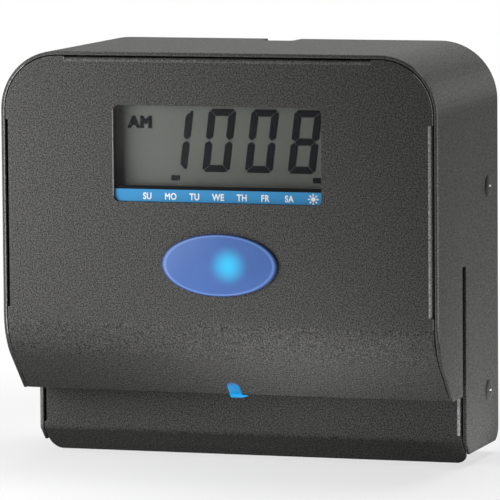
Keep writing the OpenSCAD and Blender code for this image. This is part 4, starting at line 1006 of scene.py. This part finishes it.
class TIMECLOCK_OT_print_head(Operator):
    """Winds the head springs and finishes the print head and its yoke"""
    bl_idname = "timeclock.print_head"
    bl_label = "Print Head"

    def execute(self, context):
        finish_nodes(
            "head_yoke", "yoke_screws", "head_pivot", "retaining_clips", "head_bracket", "heat_sink",
            "print_head")
        self.wind_springs()
        return {"FINISHED"}

    @staticmethod
    def wind_springs():
        """Coils of round wire between the yoke and the head."""
        low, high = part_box("head_springs")
        wire, turns, turn_steps = 0.0004, 5, 24
        steps = turn_steps * turns
        radius = (high.z - low.z) / 2 - wire
        run = high.y - low.y - 2 * wire
        bm = bmesh.new()
        for x in (low.x + radius + wire, high.x - radius - wire):
            start = Vector((x, low.y + wire, (low.z + high.z) / 2))
            ring = bmesh.ops.create_circle(
                bm, cap_ends=True, segments=10, radius=wire,
                matrix=Matrix.Translation(start + Vector((radius, 0, 0))))["verts"]
            edges = {e for v in ring for e in v.link_edges}
            faces = {f for v in ring for f in v.link_faces}
            bmesh.ops.spin(
                bm, geom=[*ring, *edges, *faces], cent=start, axis=(0, 1, 0), dvec=(0, run / steps, 0),
                angle=math.radians(360 * turns), steps=steps)
        bmesh.ops.recalc_face_normals(bm, faces=bm.faces)
        springs = make_piece(
            "head_springs_wound", bm, "spring_steel", stands_for=("head_springs",))
        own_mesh(springs)


class TIMECLOCK_OT_platen_drive(Operator):
    """Finishes the platen, its gears, the motor and their frame"""
    bl_idname = "timeclock.platen_drive"
    bl_label = "Platen Drive"

    def execute(self, context):
        finish_nodes(
            "mech_frame", "frame_screws", "platen_shaft", "platen_roller", "platen_gear", "platen_bushes",
            "platen_clips", "idler_gear", "idler_stud", "motor_body", "motor_shaft", "motor_pinion",
            "motor_screws")
        return {"FINISHED"}


class TIMECLOCK_OT_card_sensor(Operator):
    """Finishes the card flag with its bracket, pin and sensor"""
    bl_idname = "timeclock.card_sensor"
    bl_label = "Card Sensor"

    def execute(self, context):
        finish_nodes("flag_bracket", "flag_pin", "card_flag", "flag_sensor")
        return {"FINISHED"}


class TIMECLOCK_OT_electronics(Operator):
    """Finishes the main board and everything on it"""
    bl_idname = "timeclock.electronics"
    bl_label = "Electronics"

    def execute(self, context):
        finish_nodes(
            "main_board", "board_standoffs", "board_screws", "board_parts", "cell_holder", "coin_cell",
            "buzzer", "power_jack", "setting_switches", "set_button_1", "set_button_2", "set_button_3",
            "display_ribbon")
        return {"FINISHED"}


class TIMECLOCK_OT_stage(Operator):
    """Sets the pale floor, the soft lights, the white surround and the camera"""
    bl_idname = "timeclock.stage"
    bl_label = "Stage"

    def execute(self, context):
        scene = context.scene
        scene.view_settings.view_transform = "Standard"
        self.lay_floor()
        self.light_surround(scene)
        for name, place, aim, size in LIGHTS:
            self.hang_light(name, place, aim, size, getattr(settings().stage, name))
        self.set_camera(scene)
        return {"FINISHED"}

    @staticmethod
    def seen_rays(tree):
        """1 for rays that show the surround itself: camera, glossy and transmission rays."""
        path = tree.nodes.new("ShaderNodeLightPath")
        first = tree.nodes.new("ShaderNodeMath")
        second = tree.nodes.new("ShaderNodeMath")
        for node in (first, second):
            node.operation = "ADD"
            node.use_clamp = True
        tree.links.new(path.outputs["Is Camera Ray"], first.inputs[0])
        tree.links.new(path.outputs["Is Glossy Ray"], first.inputs[1])
        tree.links.new(first.outputs[0], second.inputs[0])
        tree.links.new(path.outputs["Is Transmission Ray"], second.inputs[1])
        return second.outputs[0]

    @staticmethod
    def mix_shaders(tree, mask, first, second):
        mix = tree.nodes.new("ShaderNodeMixShader")
        tree.links.new(mask, mix.inputs["Fac"])
        tree.links.new(first.outputs[0], mix.inputs[1])
        tree.links.new(second.outputs[0], mix.inputs[2])
        return mix

    def lay_floor(self):
        gap = 0.0006
        bm = bmesh.new()
        bmesh.ops.create_circle(
            bm, cap_ends=True, segments=96, radius=12.0,
            matrix=Matrix.Translation((0, 0, CAD_BOX[0].z - gap)))
        mesh = bpy.data.meshes.new("floor")
        bm.to_mesh(mesh)
        bm.free()
        mesh.materials.append(self.make_floor_pale())
        floor = bpy.data.objects.new("floor", mesh)
        bpy.context.scene.collection.objects.link(floor)

    def make_floor_pale(self):
        """Pale floor that takes the clock's shadow, fades to white further out and is clear from below."""
        material, tree, shader = new_material("floor_pale")
        seen = self.seen_rays(tree)
        tone = blend_colour(tree, seen, (0.04, 0.04, 0.04), (0.92, 0.92, 0.92))
        tree.links.new(tone, shader.inputs["Base Color"])
        shader.inputs["Roughness"].default_value = 0.9
        shader.inputs["Specular IOR Level"].default_value = 0.0
        place = tree.nodes.new("ShaderNodeTexCoord")
        fade = tree.nodes.new("ShaderNodeMapRange")
        fade.interpolation_type = "SMOOTHSTEP"
        fade.inputs["From Min"].default_value = 0.10
        fade.inputs["From Max"].default_value = 0.32
        fade.inputs["To Min"].default_value = 0.62
        tree.links.new(vector_length(tree, place.outputs["Object"]), fade.inputs["Value"])
        shown = tree.nodes.new("ShaderNodeMath")
        shown.operation = "MULTIPLY"
        tree.links.new(fade.outputs["Result"], shown.inputs[0])
        tree.links.new(seen, shown.inputs[1])
        white = tree.nodes.new("ShaderNodeEmission")
        faded = self.mix_shaders(tree, shown.outputs[0], shader, white)
        back = tree.nodes.new("ShaderNodeNewGeometry")
        clear = tree.nodes.new("ShaderNodeBsdfTransparent")
        sided = self.mix_shaders(tree, back.outputs["Backfacing"], faded, clear)
        tree.links.new(sided.outputs[0], tree.nodes["Material Output"].inputs["Surface"])
        return material

    def light_surround(self, scene):
        """White to look at, but only a dim light on the clock."""
        world = scene.world or bpy.data.worlds.new("surround")
        scene.world = world
        world.use_nodes = True
        tree = world.node_tree
        tree.nodes.clear()
        soft = tree.nodes.new("ShaderNodeBackground")
        white = tree.nodes.new("ShaderNodeBackground")
        for node in (soft, white):
            node.inputs["Color"].default_value = (1.0, 1.0, 1.0, 1.0)
        soft.inputs["Strength"].default_value = settings().stage.ambient
        mix = self.mix_shaders(tree, self.seen_rays(tree), soft, white)
        result = tree.nodes.new("ShaderNodeOutputWorld")
        tree.links.new(mix.outputs[0], result.inputs["Surface"])

    @staticmethod
    def hang_light(name, place, aim, size, energy):
        data = bpy.data.lights.new(name, "AREA")
        data.shape = "DISK"
        data.size = size
        data.energy = energy
        obj = bpy.data.objects.new(name, data)
        obj.location = place
        obj.rotation_euler = (Vector(aim) - Vector(place)).to_track_quat("-Z", "Y").to_euler()
        obj.visible_camera = False
        bpy.context.scene.collection.objects.link(obj)

    @staticmethod
    def set_camera(scene):
        """The photograph's viewpoint: a long lens, right of the middle and a little above it."""
        data = bpy.data.cameras.new("camera")
        data.lens = CAMERA_LENS
        data.sensor_width = CAMERA_SENSOR
        data.clip_end = 100.0
        obj = bpy.data.objects.new("camera", data)
        scene.collection.objects.link(obj)
        flat = math.cos(CAMERA_RISE)
        back = Vector((math.sin(CAMERA_YAW) * flat, -math.cos(CAMERA_YAW) * flat, math.sin(CAMERA_RISE)))
        right = Vector((math.cos(CAMERA_YAW), math.sin(CAMERA_YAW), 0.0))
        up = right.cross(-back)
        cos, sin = math.cos(CAMERA_ROLL), math.sin(CAMERA_ROLL)
        axes = Matrix((right * cos + up * sin, up * cos - right * sin, back)).transposed()
        obj.matrix_world = Matrix.Translation(CAMERA_PLACE) @ axes.to_4x4()
        scene.camera = obj


class TIMECLOCK_PT_sidebar(Panel):
    """Lists the steps that finish the time clock, and its settings"""
    bl_idname = "TIMECLOCK_PT_sidebar"
    bl_label = "Time Clock"
    bl_space_type = "VIEW_3D"
    bl_region_type = "UI"
    bl_category = "Time Clock"

    def draw(self, context):
        for step in STEPS:
            self.layout.operator(step.bl_idname)
        for group in ("paint", "display", "badge", "stage"):
            block = getattr(context.scene.time_clock, group)
            box = self.layout.box()
            for name in block.bl_rna.properties.keys():
                if name not in {"rna_type", "name"}:
                    box.prop(block, name)


STEPS = (
    TIMECLOCK_OT_stage, TIMECLOCK_OT_case, TIMECLOCK_OT_case_screws, TIMECLOCK_OT_display,
    TIMECLOCK_OT_day_strip, TIMECLOCK_OT_badge, TIMECLOCK_OT_pointer, TIMECLOCK_OT_chute,
    TIMECLOCK_OT_print_head, TIMECLOCK_OT_platen_drive, TIMECLOCK_OT_card_sensor, TIMECLOCK_OT_electronics,
)
CLASSES = (
    TimeClockPaint, TimeClockDisplay, TimeClockBadge, TimeClockStage, TimeClockSettings, *STEPS,
    TIMECLOCK_PT_sidebar,
)


def register():
    for cls in CLASSES:
        bpy.utils.register_class(cls)
    bpy.types.Scene.time_clock = PointerProperty(type=TimeClockSettings)


def unregister():
    del bpy.types.Scene.time_clock
    for cls in reversed(CLASSES):
        bpy.utils.unregister_class(cls)


def main():
    register()
    bpy.ops.timeclock.stage()
    bpy.ops.timeclock.case()
    bpy.ops.timeclock.case_screws()
    bpy.ops.timeclock.display()
    bpy.ops.timeclock.day_strip()
    bpy.ops.timeclock.badge()
    bpy.ops.timeclock.pointer()
    bpy.ops.timeclock.chute()
    bpy.ops.timeclock.print_head()
    bpy.ops.timeclock.platen_drive()
    bpy.ops.timeclock.card_sensor()
    bpy.ops.timeclock.electronics()


if __name__ == "__main__":
    main()
